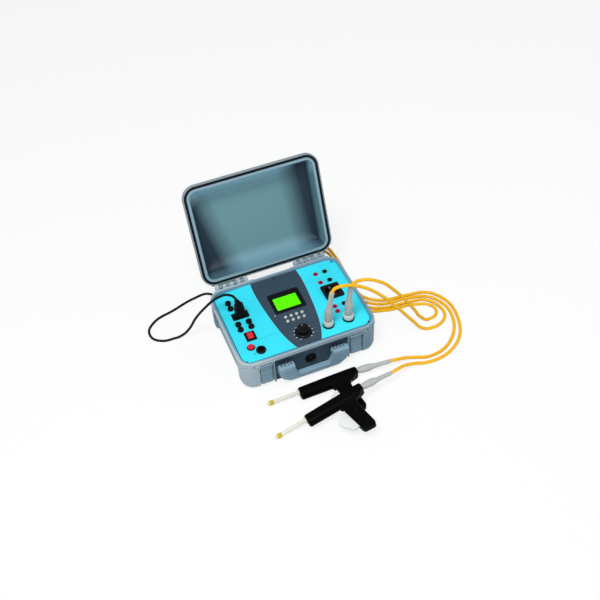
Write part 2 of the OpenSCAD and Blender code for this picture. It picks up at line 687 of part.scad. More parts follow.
module hv_sockets() color(black_colour) for (p = hv_at) translate([p[0], p[1], panel_z])
    rotate_extrude() polygon([[0, -18], [neck_r, -18], [neck_r, 0], [17, 0], [17, 3],
        [16, hv_flange_h], [neck_r, hv_flange_h], [neck_r, hv_flange_h + neck_h], [0, hv_flange_h + neck_h]]);

module hv_plugs() color([0.90, 0.90, 0.88]) for (p = hv_at)
    translate([p[0], p[1], panel_z + hv_flange_h + 0.1]) difference() {
        rotate_extrude() polygon([[neck_r + 0.2, 0], [nut_r, 0], [nut_r, nut_h - 4],
            [nut_r - 1.5, nut_h], [neck_r + 3.4, nut_h + 2], [neck_r + 2, nut_h + 2],
            [neck_r + 2, neck_h], [neck_r + 0.2, neck_h]]);
        for (i = [0 : 17]) rotate([0, 0, 20 * i]) translate([nut_r + 0.7, 0, 1.5])
            cylinder(r = 1.3, h = nut_h - 6, $fn = 16);
    }

// A grey boot along Z, with its thick end at the origin
module boot(r, end_r) rotate_extrude() polygon([[0, 0], [r, 0], [r + 1.2, 14], [r + 1.2, 38],
    [r - 1, 47], [end_r + 1, 56], [end_r + 0.6, 78], [end_r, boot_len - 4],
    [end_r - 1, boot_len], [0, boot_len]]);

module hv_boots() color([0.62, 0.67, 0.66]) for (i = [0, 1])
    translate([hv_at[i][0], hv_at[i][1], panel_z + hv_flange_h + neck_h + 1.4])
        rotate([0, hv_lean[i], 0]) boot(boot_r, boot_end_r);

module start_switch() color(black_colour) difference() {
    union() {
        disc(button_at, button_r + 2.4, panel_z, panel_z + 2);
        disc(button_at, button_r + 1, panel_z - 16, panel_z + 1);
    }
    disc(button_at, button_r + slip, panel_z - 12, panel_z + 3);
}

module start_button() color([0.85, 0.08, 0.12]) translate([button_at[0], button_at[1], panel_z])
    rotate_extrude() polygon([[0, -12 + button_travel + 0.3], [button_r, -12 + button_travel + 0.3],
        [button_r, 5], [button_r - 1.5, 6.5], [0, 7]]);

module lamp_connector() color(black_colour) {
    translate([lamp_at[0], lamp_at[1], panel_z]) difference() {
        rotate_extrude() polygon([[0, -14], [lamp_r - 3, -14], [lamp_r - 3, 0], [lamp_r, 0],
            [lamp_r, 4], [lamp_r - 2, 6], [0, 6]]);
        translate([0, 0, -4]) cylinder(r = lamp_r - 4.5, h = 12);
    }
    for (a = [0 : 60 : 300]) translate([lamp_at[0] + 5 * cos(a), lamp_at[1] + 5 * sin(a), panel_z - 5])
        cylinder(r = 0.8, h = 6, $fn = 16);
}

module status_led() color([0.95, 0.95, 0.95]) {
    disc(led_at, 1.9, panel_under - 3, panel_z + 0.8);
    disc(led_at, 2.8, panel_under - 4, panel_under);
}

module main_board() color([0.10, 0.35, 0.20])
    box_at([-62, -125, board_z], [62, 90, board_z + board_t]);

// A wound core with its coil former, standing on the floor
module transformer(at, size) {
    box_at([at[0] - size[0] / 2, at[1] - size[1] / 4, floor_t],
        [at[0] + size[0] / 2, at[1] + size[1] / 4, floor_t + size[2]]);
    block(at, [size[0] * 0.6, size[1]], 8, floor_t + 10, floor_t + size[2] - 10);
}

module hv_transformer() color([0.45, 0.30, 0.15]) transformer([100, -45], [78, 74, 56]);
module power_transformer() color([0.45, 0.42, 0.38]) transformer([-110, 40], [92, 80, 60]);

module at_probe(i) translate(probe_at[i]) rotate([0, 0, probe_turn[i]])
    rotate([0, -probe_rise[i], 0]) rotate([probe_roll[i], 0, 0]) children();

// The probe's grip from the side, from its rear end
grip_outline = [[-112, -10], [-92, -20], [-84, -26], [-81, -34], [-78, -57], [-70, -110], [-68.5, -119],
    [-65, -124], [-60, -126], [-36, -127.5], [-30.5, -125], [-28.5, -119], [-31, -94], [-34.5, -60],
    [-35.5, -45], [-33, -32], [-27, -25], [-20, -20], [-20, -6]];

// Half of the barrel's section, from the rear end to the nose
barrel_profile = [[0, 0], [barrel_r - 2, 0], [barrel_r - 0.4, 2.5], [barrel_r, 24],
    [barrel_r, 100], [barrel_r - 0.6, barrel_len - 5], [barrel_r - 2, barrel_len - 1.5],
    [barrel_r - 4, barrel_len], [0, barrel_len]];
barrel_sides = concat(barrel_profile, [for (i = [7 : -1 : 1]) [-barrel_profile[i][0], barrel_profile[i][1]]]);

module barrel() {
    for (e = [-1, 1]) translate([0, barrel_mid + e * barrel_flat / 2, 0])
        rotate([0, -90, 0]) rotate_extrude() polygon(barrel_profile);
    translate([0, barrel_mid + barrel_flat / 2, 0]) rotate([90, 0, 0]) rotate([0, 0, 90])
        linear_extrude(barrel_flat) polygon(barrel_sides);
}

module probe_body(i) color(black_colour) at_probe(i) {
    difference() {
        union() {
            barrel();
            for (layer = [[0, 3], [1.2, 1.2], [3.4, 0]])
                translate([0, 0, -grip_t / 2 + layer[0]])
                    linear_extrude(grip_t - 2 * layer[0]) offset(delta = -layer[1]) polygon(grip_outline);
        }
        translate([0, 0, -barrel_r - 1]) linear_extrude(2 * barrel_r + 2)
            polygon([[-30, -28], [-24, -25], [-16, -21], [-8, -17], [1, -13], [1, -30], [-30, -30]]);
        rotate([0, -90, 0]) translate([0, 0, barrel_len - 20]) cylinder(r = rod_r + fit, h = 25);
        rotate([0, -90, 0]) translate([0, 0, -1]) cylinder(r = thin_boot_r + 2.2, h = boot_recess + 1);
        translate([0, 0, -trigger_t / 2 - slip]) linear_extrude(trigger_t + 2 * slip)
            polygon([[-114, -34], [-62, -34], [-56, -111], [-114, -111]]);
    }
    translate([pivot_at[0], pivot_at[1], -trigger_t / 2 - 2]) cylinder(r = trigger_pin_r, h = trigger_t + 4);
}

module probe_1_body() probe_body(0);
module probe_2_body() probe_body(1);

module probe_trigger(i) color([0.85, 0.90, 0.86]) at_probe(i) translate([0, 0, -trigger_t / 2])
    difference() {
        linear_extrude(trigger_t) polygon([[-80, -41], [-91, -44.5], [-103, -55], [-109.5, -65],
            [-110.5, -71], [-109, -76], [-92, -101], [-87, -106], [-82, -107.5], [-76, -107.5],
            [-70, -105.5], [-65, -103], [-63.5, -98], [-65.5, -92], [-72, -60], [-74.5, -42]]);
        translate([pivot_at[0], pivot_at[1], -1]) cylinder(r = trigger_pin_r + fit, h = trigger_t + 2);
    }

module probe_1_trigger() probe_trigger(0);
module probe_2_trigger() probe_trigger(1);

module probe_rods() color([0.90, 0.90, 0.82]) for (i = [0, 1]) at_probe(i)
    rotate([0, -90, 0]) translate([0, 0, barrel_len]) rotate_extrude() polygon([[0, -18],
        [rod_r, -18], [rod_r, 0.1], [9.4, 0.1], [9.4, 1.5], [rod_r, 2.5], [rod_r, rod_len - 20],
        [rod_r + 1.5, rod_len - 19], [rod_r + 1.5, rod_len - 7], [rod_r, rod_len - 6],
        [rod_r - 1, rod_len - 6], [rod_r - 1, rod_len - 2], [1, rod_len], [0, rod_len]]);

module probe_boots() color([0.62, 0.67, 0.66]) for (i = [0, 1]) at_probe(i)
    translate([-boot_sink, 0, 0]) rotate([-probe_roll[i], 0, 0])
        rotate([0, 90 + boot_drop[i], boot_turn[i]]) boot(thin_boot_r, boot_end_r - 0.7);

// The connector in the inlet, with its bent relief
module mains_plug() color(black_colour) {
    difference() {
        union() {
            block(inlet_at, inlet_hole - [0.4, 0.4], 2.5, panel_z - 13, panel_z + flange_t + 0.2);
            block(inlet_at, [28, 20], 4, panel_z + flange_t + 0.1, panel_z + 36);
            block(inlet_at, [24, 17], 5, panel_z + 35, panel_z + 46);
            translate([inlet_at[0], inlet_at[1], panel_z + 44]) rotate([-6, -14, 0])
                cylinder(r1 = 8, r2 = 5, h = 22);
        }
        for (p = inlet_pins)
            translate([inlet_at[0] + p[0] - 1.3, inlet_at[1] + p[1] - 2.3, panel_z - 14])
                cube([2.6, 4.6, inlet_deep]);
    }
}

module mains_cord() color([0.10, 0.10, 0.11]) {
    lead(mains_route_1, mains_lead_r);
    lead(mains_route_2, mains_lead_r);
}

module mains_cord_coil() color([0.10, 0.10, 0.11]) translate([coil_at[0], coil_at[1], 0.1])
    rotate_extrude() translate([coil_in_r, 0]) square([coil_out_r - coil_in_r, coil_h]);

module mains_lead_plug() color(black_colour) translate(end_plug_at) rotate([0, 90, 4]) {
    rotate_extrude() polygon([[0, 0], [6, 0], [8, 14], [16, 22], [18, 40], [18, 46], [0, 46]]);
    for (y = [-9.5, 9.5]) translate([0, y, 45]) cylinder(r = 2.4, h = 20);
}

module hv_cord_1() color(yellow_colour) lead(hv_route_1, hv_lead_r);
module hv_cord_2() color(yellow_colour) lead(hv_route_2, hv_lead_r);

case_base();
case_lid();
lid_gasket();
lid_hinge_pins();
latch_left();
latch_right();
carry_handle();
handle_pins();
pressure_valve();
front_panel();
panel_screws();
lcd_bezel();
lcd_module();
key_1();
key_2();
key_3();
key_4();
key_5();
key_6();
key_7();
key_8();
key_mat();
range_knob();
rotary_switch();
mains_inlet();
mains_switch();
mains_rocker();
fuse_holders();
fuse_cap_1();
fuse_cap_2();
fuse_cap_3();
fuse_cap_4();
fuse_cap_5();
fuse_cap_6();
red_jacks();
black_jacks();
mains_socket();
hv_sockets();
hv_plugs();
hv_boots();
probe_boots();
start_button();
start_switch();
lamp_connector();
status_led();
main_board();
hv_transformer();
power_transformer();
probe_1_body();
probe_2_body();
probe_1_trigger();
probe_2_trigger();
probe_rods();
mains_plug();
mains_cord();
mains_cord_coil();
mains_lead_plug();
hv_cord_1();
hv_cord_2();
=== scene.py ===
"""Looks of an electrical installation tester: a rugged open case with its test panel, the leads and two
high voltage probes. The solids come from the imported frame; lengths here are in millimetres unless a
name or a description says otherwise."""

import json
import math

import bmesh
import bpy
from bpy.props import FloatProperty, FloatVectorProperty, IntProperty, PointerProperty
from mathutils import Matrix, Vector

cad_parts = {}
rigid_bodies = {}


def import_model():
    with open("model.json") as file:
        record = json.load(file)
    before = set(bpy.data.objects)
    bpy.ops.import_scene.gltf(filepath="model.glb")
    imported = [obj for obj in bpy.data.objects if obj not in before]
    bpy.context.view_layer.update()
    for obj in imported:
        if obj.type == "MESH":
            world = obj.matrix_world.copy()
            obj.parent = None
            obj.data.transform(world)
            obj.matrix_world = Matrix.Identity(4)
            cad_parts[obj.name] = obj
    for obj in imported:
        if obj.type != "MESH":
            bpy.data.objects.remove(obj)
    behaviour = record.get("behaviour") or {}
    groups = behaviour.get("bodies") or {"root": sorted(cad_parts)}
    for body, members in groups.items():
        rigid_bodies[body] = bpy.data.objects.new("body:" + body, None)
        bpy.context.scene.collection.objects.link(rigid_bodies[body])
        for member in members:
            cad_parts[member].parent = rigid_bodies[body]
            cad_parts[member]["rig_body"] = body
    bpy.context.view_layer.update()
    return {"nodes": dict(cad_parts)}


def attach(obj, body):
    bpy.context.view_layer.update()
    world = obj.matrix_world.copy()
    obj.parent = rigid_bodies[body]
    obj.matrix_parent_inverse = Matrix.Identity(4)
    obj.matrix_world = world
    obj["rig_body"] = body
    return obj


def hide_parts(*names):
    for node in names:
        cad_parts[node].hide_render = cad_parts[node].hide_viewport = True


bl_info = {
    "name": "Installation tester looks",
    "version": (1, 0, 0),
    "blender": (4, 5, 0),
    "location": "3D View > Sidebar > Tester",
    "description": "Dresses the tester's frame with rounded pieces, printed panel, leads and materials",
    "category": "Object",
}

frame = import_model()
NODES = frame["nodes"]
MM = 0.001

# Places that the case and its panel share with the solids
PANEL = 102.0
UNDER_PANEL = 99.0
CASE = (410.0, 312.0)
CORNER = 40.0
RIM = 108.0
HINGE = (166.0, 110.0)
OPENING = 110.0
LID_KNUCKLES = [79.5 + 22.5 * (i + 0.5) for i in range(4)]
KEYS = [(x, y) for y in (-22, -39) for x in (-25.2, -8.4, 8.4, 25.2)]
KNOB = (0, -95)
FUSES = [(-159, 97), (-159, 74), (-159, 6), (-159, -15), (-127, 6), (-127, -15)]
INLET = (-141.5, 39)
ROCKER = (-141.5, -47)
BUTTON = (-154.5, -88)
LAMP = (-132, -109)
LAMP_SIGN = (-152, -115)
STATUS = (-51, -4)
JACK_ROWS = (104, 65.5, -40.5, -61)
RED_JACKS = 119.5
BLACK_JACKS = 149.0
SOCKET = (136.5, 17.5)
HIGH_SOCKETS = [(75, -99), (136.5, -99)]
BOOT_LEAN = (7.5, 4.6)
SCREWS = [(-183, 134), (183, 134), (-183, -134), (183, -134), (0, 141), (0, -141)]
LCD = (0, 34.5)

# The probes: rear end of the barrel, turn, rise of the rear and roll towards the grip
PROBES = [((106, -218.2, 15), 1.7, 0.0, 0.0), ((83.3, -301.8, 50.1), 6.9, 9.39, -2.4)]
BOOT_TURNS = [(-8.4, -4.1), (3.2, 13.9)]
BARREL = 176.0
BOOT_LENGTH = 105

# The camera that matches the photograph: turn, pitch and roll in degrees, metres away from a point 0.1 m
# above the origin, and how far the picture is shifted, in its 600 pixels
CAMERA_ANGLES = (-18.11, 46.59, -4.74)
CAMERA_AWAY = 2.573
CAMERA_SHIFT = (8.9 / 600, 10.2 / 600)

# Routes of the leads, the same points as in the solids; a point without a height lies on the floor
HIGH_FLOOR, MAINS_FLOOR = 4.3, 3.6
HIGH_ROUTE_1 = [(88, -99, 222), (94, -99, 236), (112, -103, 244), (140, -109, 242), (180, -116, 222),
    (226, -125, 180), (274, -134, 117), (324, -143, 45), (346, -148, 16), (372, -152), (410, -148),
    (438, -122), (438, -80), (413, -43), (360, -30), (280, -20), (236, 8), (217, 60), (214, 150),
    (188, 198), (162, 240), (166, 280), (198, 298), (226, 276), (230, 230), (227, 100), (238, 35),
    (280, -2), (370, -15), (426, -34), (456, -84), (451, -150), (414, -210), (360, -243), (314, -246),
    (281, -236, 8), (247, -232, 17), (228, -232.4, 21), (206.5, -230.6, 22.5)]
HIGH_ROUTE_2 = [(144, -99, 222), (150, -100, 234), (162, -100, 240), (180, -101, 239), (221, -104, 221),
    (247, -107, 200), (273, -109, 167), (298, -111, 132), (339, -114, 62), (360, -116, 24), (386, -118),
    (412, -112), (424, -88), (410, -62), (380, -48), (290, -34), (236, -12), (208, 35), (203, 130),
    (178, 186), (148, 232), (150, 288), (190, 316), (232, 298), (243, 245), (238, 110), (250, 45),
    (290, 11), (370, -2), (434, -18), (469, -70), (467, -150), (430, -222), (375, -258), (336, -266),
    (305, -264.4), (268, -259.3, 12.5), (230, -265.5, 27.5), (206, -276.3, 37.5), (182.9, -283.9, 41.2)]
MAINS_ROUTE = [(-146, 42, 166), (-153, 46, 180), (-170, 55, 185), (-192, 66, 173), (-231, 86, 128),
    (-259, 100, 85), (-284, 113, 34), (-301, 121, 12), (-324, 124), (-362, 128), (-388, 148), (-392, 184),
    (-366, 214), (-300, 236), (-230, 258), (-182, 260)]
COIL = (-112, 235)
COIL_PITCH, COIL_OUT, COIL_IN = 7.6, 49.5, 32.8
END_PLUG = (-46, 196, 18)


# Settings that a user would change

def colour(name, description, value):
    """A colour setting, in linear light."""
    return FloatVectorProperty(name=name, description=description, subtype="COLOR", size=3, min=0, max=1,
        default=value)


def tint(red, green, blue):
    """A colour given as the screen shows it, 0 to 255, in linear light."""
    return tuple((c / 255 / 12.92) if c <= 10 else ((c / 255 + 0.055) / 1.055) ** 2.4 for c in
        (red, green, blue))


class TesterColours(bpy.types.PropertyGroup):
    """Colours of the finishes."""
    shell: colour("Case", "Moulded blue grey of the case, lid and handle", tint(106, 134, 150))
    fields: colour("Panel fields", "Light blue of the panel's two side fields", tint(58, 231, 253))
    centre: colour("Panel centre", "Slate of the panel's middle field", tint(52, 70, 86))
    display: colour("Display", "Lit green of the display", tint(86, 226, 4))
    black: colour("Black plastic", "Sockets, caps, knob and frames", tint(12, 13, 15))
    red: colour("Red lens", "Mains switch and start button", tint(206, 14, 34))
    red_jack: colour("Red terminals", "Crimson of the terminals", tint(170, 16, 70))
    lead: colour("High voltage leads", "Golden yellow sheath", tint(246, 186, 8))
    boot: colour("Boots", "Green grey rubber", tint(176, 182, 179))
    pale: colour("Pale plastic", "Nuts, rods and keys", tint(214, 216, 210))


class TesterSizes(bpy.types.PropertyGroup):
    """Sizes of what is not in the solids."""
    high_lead: FloatProperty(name="High voltage lead", description="Diameter",
        default=0.0096, unit="LENGTH")
    mains_lead: FloatProperty(name="Mains lead", description="Diameter", default=0.0076, unit="LENGTH")
    edge: FloatProperty(name="Edges", description="Rounding of moulded edges, in millimetres",
        default=0.6, min=0.1, max=1.5)
    ribs: IntProperty(name="Cap ribs", description="Ribs round each fuse cap", default=18, min=8, max=30)


class TesterStage(bpy.types.PropertyGroup):
    """Camera and light."""
    lens: FloatProperty(name="Lens", description="Focal length in millimetres", default=53.615)
    key: FloatProperty(name="Key light", description="Power of the large soft light", default=88,
        unit="POWER")
    fill: FloatProperty(name="Fill light", description="Power of the weak light from the right",
        default=10, unit="POWER")
    sky: FloatProperty(name="Sky", description="Strength of the light from all round", default=0.42)


# Shader maths

class Wire:
    """An output socket of a material; operators on it add Math nodes."""

    def __init__(self, paint, socket):
        self.paint, self.socket = paint, socket

    def maths(self, operation, *values):
        return self.paint.node("ShaderNodeMath", {"operation": operation}, dict(enumerate(values)))

    def held(self):
        """The value kept between 0 and 1."""
        return self.paint.node("ShaderNodeClamp", {}, {0: self})


def operator(name, backwards=False):
    """A method of Wire that adds the Math node of that name."""

    def method(self, *others):
        values = (self, *others)
        return self.maths(name, *(values[::-1] if backwards else values))
    return method


for method, name in {"__add__": "ADD", "__sub__": "SUBTRACT", "__mul__": "MULTIPLY",
        "__truediv__": "DIVIDE", "__abs__": "ABSOLUTE", "__lt__": "LESS_THAN",
        "__gt__": "GREATER_THAN", "waved": "SINE", "root": "SQRT", "larger": "MAXIMUM"}.items():
    setattr(Wire, method, operator(name))
Wire.__rsub__ = operator("SUBTRACT", True)

FINISHES = {}


class Paint:
    """A material with one Principled shader, and what is needed to feed it."""

    def __init__(self, name, **values):
        self.material = bpy.data.materials.new(name)
        self.material.use_nodes = True
        FINISHES[name] = self.material
        self.nodes = self.material.node_tree.nodes
        self.links = self.material.node_tree.links
        self.shader = self.nodes["Principled BSDF"]
        self.set(**values)

    def set(self, **values):
        for name, value in values.items():
            self.feed(self.shader.inputs[name.replace("_", " ")], value)

    def feed(self, socket, value):
        if isinstance(value, Wire):
            self.links.new(value.socket, socket)
        elif socket.type == "RGBA" and len(value) == 3:
            socket.default_value = (*value, 1)
        else:
            socket.default_value = value

    def node(self, kind, settings, sockets, out=0):
        """Adds a node: its settings, a ramp's stops among them, then its sockets' values or links."""
        made = self.nodes.new(kind)
        for name, value in settings.items():
            if name == "stops":
                ramp = made.color_ramp.elements
                while len(ramp) < len(value):
                    ramp.new(0.5)
                for stop, (place, shade) in zip(ramp, value):
                    stop.position, stop.color = place, (shade, shade, shade, 1)
            else:
                setattr(made, name, value)
        for name, value in sockets.items():
            self.feed(made.inputs[name], value)
        return Wire(self, made.outputs[out])

    def place(self, matrix=None):
        """Object coordinates, or those of a local frame that matrix turns into the object's."""
        spot = self.node("ShaderNodeTexCoord", {}, {}, "Object")
        if matrix is None:
            return spot
        inverse = matrix.inverted()
        turn, shift = inverse.to_euler(), inverse.to_translation()
        return self.node("ShaderNodeMapping", {}, {"Vector": spot, "Location": shift, "Rotation": turn})

    def axes(self, matrix=None):
        """The three coordinates of a place, in millimetres."""
        place = self.place(matrix)
        parts = [self.node("ShaderNodeSeparateXYZ", {}, {0: place}, axis) for axis in "XYZ"]
        return [part * 1000 for part in parts]

    def noise(self, size, detail=3, rough=0.5):
        """Noise from 0 to 1 whose blobs are about size millimetres wide."""
        return self.node("ShaderNodeTexNoise", {}, {"Vector": self.place(), "Scale": 700 / size,
            "Detail": detail, "Roughness": rough})

    def cells(self, size):
        """Distance from the points of a random grid about size millimetres apart."""
        return self.node("ShaderNodeTexVoronoi", {}, {"Vector": self.place(), "Scale": 1000 / size})

    def ramp(self, value, *stops):
        return self.node("ShaderNodeValToRGB", {"stops": stops}, {0: value})

    def mixed(self, mask, first, second):
        """The first colour where the mask is 0 and the second where it is 1."""
        return self.node("ShaderNodeMix", {"data_type": "RGBA"}, {0: mask, 6: first, 7: second}, 2)

    def bumped(self, height, deep=0.1, strength=0.5):
        """Sends a height to the surface; deep is in millimetres."""
        self.set(Normal=self.node("ShaderNodeBump", {}, {"Height": height, "Distance": deep * MM,
            "Strength": strength}))

    def attribute(self, name):
        return self.node("ShaderNodeAttribute", {"attribute_name": name}, {}, "Fac")


def scaled(value, factor):
    return tuple(min(c * factor, 1) for c in value)


def moulded(name, value, rough=0.5, grain=0.5, deep=0.05, cloud=0.08, edge_wear_and_highlight=0.0, **values):
    """A moulded plastic: fine grain, faint clouds of colour, uneven gloss and edges painted lighter,
    partly as wear and partly as a painted highlight.
    """
    paint = Paint(name, **{"Specular_IOR_Level": 0.3, **values})
    clouds = paint.ramp(paint.noise(60, 4), (0.3, 0), (0.7, 1))
    shade = paint.mixed(clouds, scaled(value, 1 - cloud), scaled(value, 1 + cloud))
    if edge_wear_and_highlight:
        # Painted highlight and wear: the bevelled edges are painted lighter, in broken patches.
        wear_and_highlight = paint.attribute("edge") * (paint.noise(9, 4, 0.7) * 0.8 + 0.5) * edge_wear_and_highlight
        shade = paint.mixed(wear_and_highlight, shade, scaled(value, 1.7))
    paint.set(Base_Color=shade, Roughness=paint.noise(25, 4) * 0.16 + (rough - 0.08))
    paint.bumped(paint.noise(grain, 2) * 0.7 + paint.cells(grain * 2.2) * 0.3, deep, 0.45)
    return paint, shade


def brushed(name, value, rough=0.3, scale=1.2):
    """A metal with fine scratches and faint stains."""
    paint = Paint(name, Metallic=1.0)
    streaks = paint.noise(scale, 5, 0.7)
    paint.set(Base_Color=paint.mixed(streaks, scaled(value, 0.85), value),
        Roughness=streaks * 0.2 + (rough - 0.1))
    paint.bumped(streaks, 0.02, 0.3)


def rim_depth(paint, x, y):
    """How far a point lies inside the rounded outline of the case, in millimetres."""
    far = []
    for axis, size in zip((x, y), CASE):
        straight = size / 2 - CORNER
        far.append((abs(axis) - straight) * (abs(axis) > straight))
    return CORNER - (far[0] * far[0] + far[1] * far[1]).root()


def printed_panel(settings):
    """The plate: light blue side fields, slate centre, a pale line between them and a shaded edge."""
    paint = Paint("panel_print", Specular_IOR_Level=0.2)
    x, y, z = paint.axes()
    t = y / 100
    half = (((t * -1.85 + 1.329) * t - 3.047) * t + 10.576) * t + 68.334
    side = abs(x)
    line = ((side - half) > -0.3) * ((side - half) < 0.4) * 0.5
    field = (side - half) > 0.1
    print_grain = paint.noise(0.9, 2)
    fade = paint.ramp(paint.noise(150, 2), (0.35, 0), (0.65, 1))
    blue = paint.mixed(fade, scaled(settings.fields, 0.88), settings.fields)
    slate = paint.mixed(paint.ramp(paint.noise(1.4, 3, 0.7), (0.35, 0), (0.65, 1)),
        scaled(settings.centre, 0.86), scaled(settings.centre, 1.14))
    shade = paint.mixed(field, slate, blue)
    shade = paint.mixed(line, shade, tint(170, 206, 222))
    depth = rim_depth(paint, x, y) - paint.ramp((y + 160) / 160, (0.1, 1), (0.3, 0)) * 3.4
    side_fade = paint.ramp((y * 1.3 + x + 400) / 800, (0.5, 1), (0.62, 0))
    shadow = paint.ramp(depth / 16, (0.78, 1), (0.88, 0)) * side_fade * field * 0.8
    shade = paint.mixed(shadow, shade, tint(16, 44, 96))
    edge = paint.mixed((z > 101.6), scaled(settings.centre, 1.6), shade)
    paint.set(Base_Color=edge, Roughness=print_grain * 0.12 + 0.36)
    paint.bumped(print_grain * 0.5 + paint.noise(3, 3) * 0.5, 0.03, 0.4)


def case_shell(settings):
    """The base's plastic, with a painted highlight at the rim's outer edge and its front left corner,
    stronger on the left side, and painted shade in the front recess and in the gap by the panel.
    """
    paint, shade = moulded("case_plastic", settings.shell, 0.5, 0.45, 0.05, 0.03, 0.4)
    x, y, z = paint.axes()
    depth = rim_depth(paint, x, y)
    # Painted highlight along the top of the rim's outer edge, fading towards the right, and on the front
    # left corner.
    pale = paint.ramp(depth / 8, (0.28, 1), (0.5, 0)) * paint.ramp(z / 110, (0.8, 0), (0.86, 1))
    corner = paint.ramp((x + y) / -400, (0.68, 0), (0.78, 1)) * 0.7
    left = paint.ramp((x + 260) / 400, (0.2, 1), (0.9, 0.35))
    shade = paint.mixed((pale * left + corner).held() * 0.66, shade, tint(196, 208, 214))
    # Painted shade in the gap between the rim and the panel and in the front recess under the rim.
    gap = paint.ramp(depth / 16, (0.62, 0), (0.7, 1), (0.9, 1)) * (z > 99)
    recess = (abs(x) < 109.5) * (y < -120) * (z < 97)
    shade = paint.mixed((gap + recess).held() * 0.68, shade, tint(34, 50, 70))
    paint.set(Base_Color=shade)


def lid_shell(settings):
    """The lid's plastic: its inside is teal and smoother, with painted light on bands at the top and
    bottom of the inside and on the ledge inside the seal, and painted shade towards the two ends.
    """
    paint, shade = moulded("lid_plastic", settings.shell, 0.46, 0.45, 0.04, 0.03, 0.3)
    matrix = swing()
    x, y, z = paint.axes(Matrix.Translation(matrix.to_translation() * MM) @ matrix.to_3x3().to_4x4())
    depth = rim_depth(paint, x, y)
    well = paint.attribute("inside")
    slant = y + x * 0.12
    # Painted light: the inside is painted lighter in a band at its top and a fainter one at its bottom.
    teal = paint.mixed(paint.ramp((y + 160) / 320, (0.1, 1), (0.24, 0)), tint(104, 144, 154),
        tint(164, 212, 232))
    teal = paint.mixed(paint.ramp(y / 160, (0.6, 0), (0.8, 1)), teal, tint(110, 150, 166))
    shade = paint.mixed(well, shade, teal)
    # Painted shade: the inside darkens towards its two end walls.
    reach = (x - y * 0.06).larger(y * 0.24 - x)
    ends = paint.ramp(reach / 200, (0.48, 0), (0.66, 0.5), (0.8, 1))
    length = paint.ramp((slant + 160) / 320, (0.1, 0), (0.2, 1)) * paint.ramp(y / 160, (0.8, 1),
        (0.94, 0))
    wall = paint.ramp(abs(x) / 200, (0.89, 1), (0.93, 0))
    shade = paint.mixed(ends * length * wall * well * 0.96, shade, tint(16, 34, 52))
    # Painted highlight on the flat ledge inside the seal.
    lip = paint.ramp(depth / 20, (0.56, 0), (0.6, 1), (0.8, 1), (0.92, 0)) * (z < 109) * 0.4
    shade = paint.mixed(lip, shade, tint(170, 198, 212))
    shade = paint.mixed(paint.ramp(depth / 8, (0.4, 0.7), (0.6, 0)) * (z < 121),
        shade, tint(140, 148, 152))
    paint.set(Base_Color=shade)


def lit_display(settings):
    """Green lit glass with its fine grid of dots."""
    paint = Paint("display_glass", Specular_IOR_Level=0.08)
    x, y = paint.axes()[:2]
    grid = (x * 11.4).waved().larger((y * 11.4).waved())
    glow = paint.ramp(paint.noise(90, 1), (0.3, 0), (0.7, 1))
    shade = paint.mixed(glow * 0.4 + grid * 0.1, settings.display, scaled(settings.display, 1.15))
    paint.set(Base_Color=shade, Emission_Color=shade, Emission_Strength=0.3,
        Roughness=paint.noise(8) * 0.08 + 0.14)
    paint.bumped(grid, 0.01, 0.1)


def glowing(name, value, strength):
    """A lit lens: clear plastic over a lamp, a little brighter and darker in patches."""
    paint = Paint(name, Specular_IOR_Level=0.3, Emission_Strength=strength)
    shade = paint.mixed(paint.ramp(paint.noise(14, 2), (0.35, 0), (0.65, 1)), scaled(value, 0.85),
        scaled(value, 1.15))
    paint.set(Base_Color=shade, Emission_Color=shade, Roughness=paint.noise(6) * 0.1 + 0.2)
    paint.bumped(paint.noise(1.2, 2), 0.02, 0.3)


def sheathed(name, value, rough, bend=0.06, **values):
    """A cable's smooth sheath, with scuffs and the faint twist of its cores."""
    paint = Paint(name, **{"Specular_IOR_Level": 0.25, **values})
    scuffs = paint.ramp(paint.noise(7, 5, 0.7), (0.45, 0), (0.75, 1))
    shade = paint.mixed(scuffs, value, scaled(value, 0.84))
    paint.set(Base_Color=shade, Roughness=scuffs * 0.14 + rough)
    paint.bumped(paint.noise(4, 3) * 0.6 + paint.noise(0.7, 2) * 0.4, bend, 0.5)


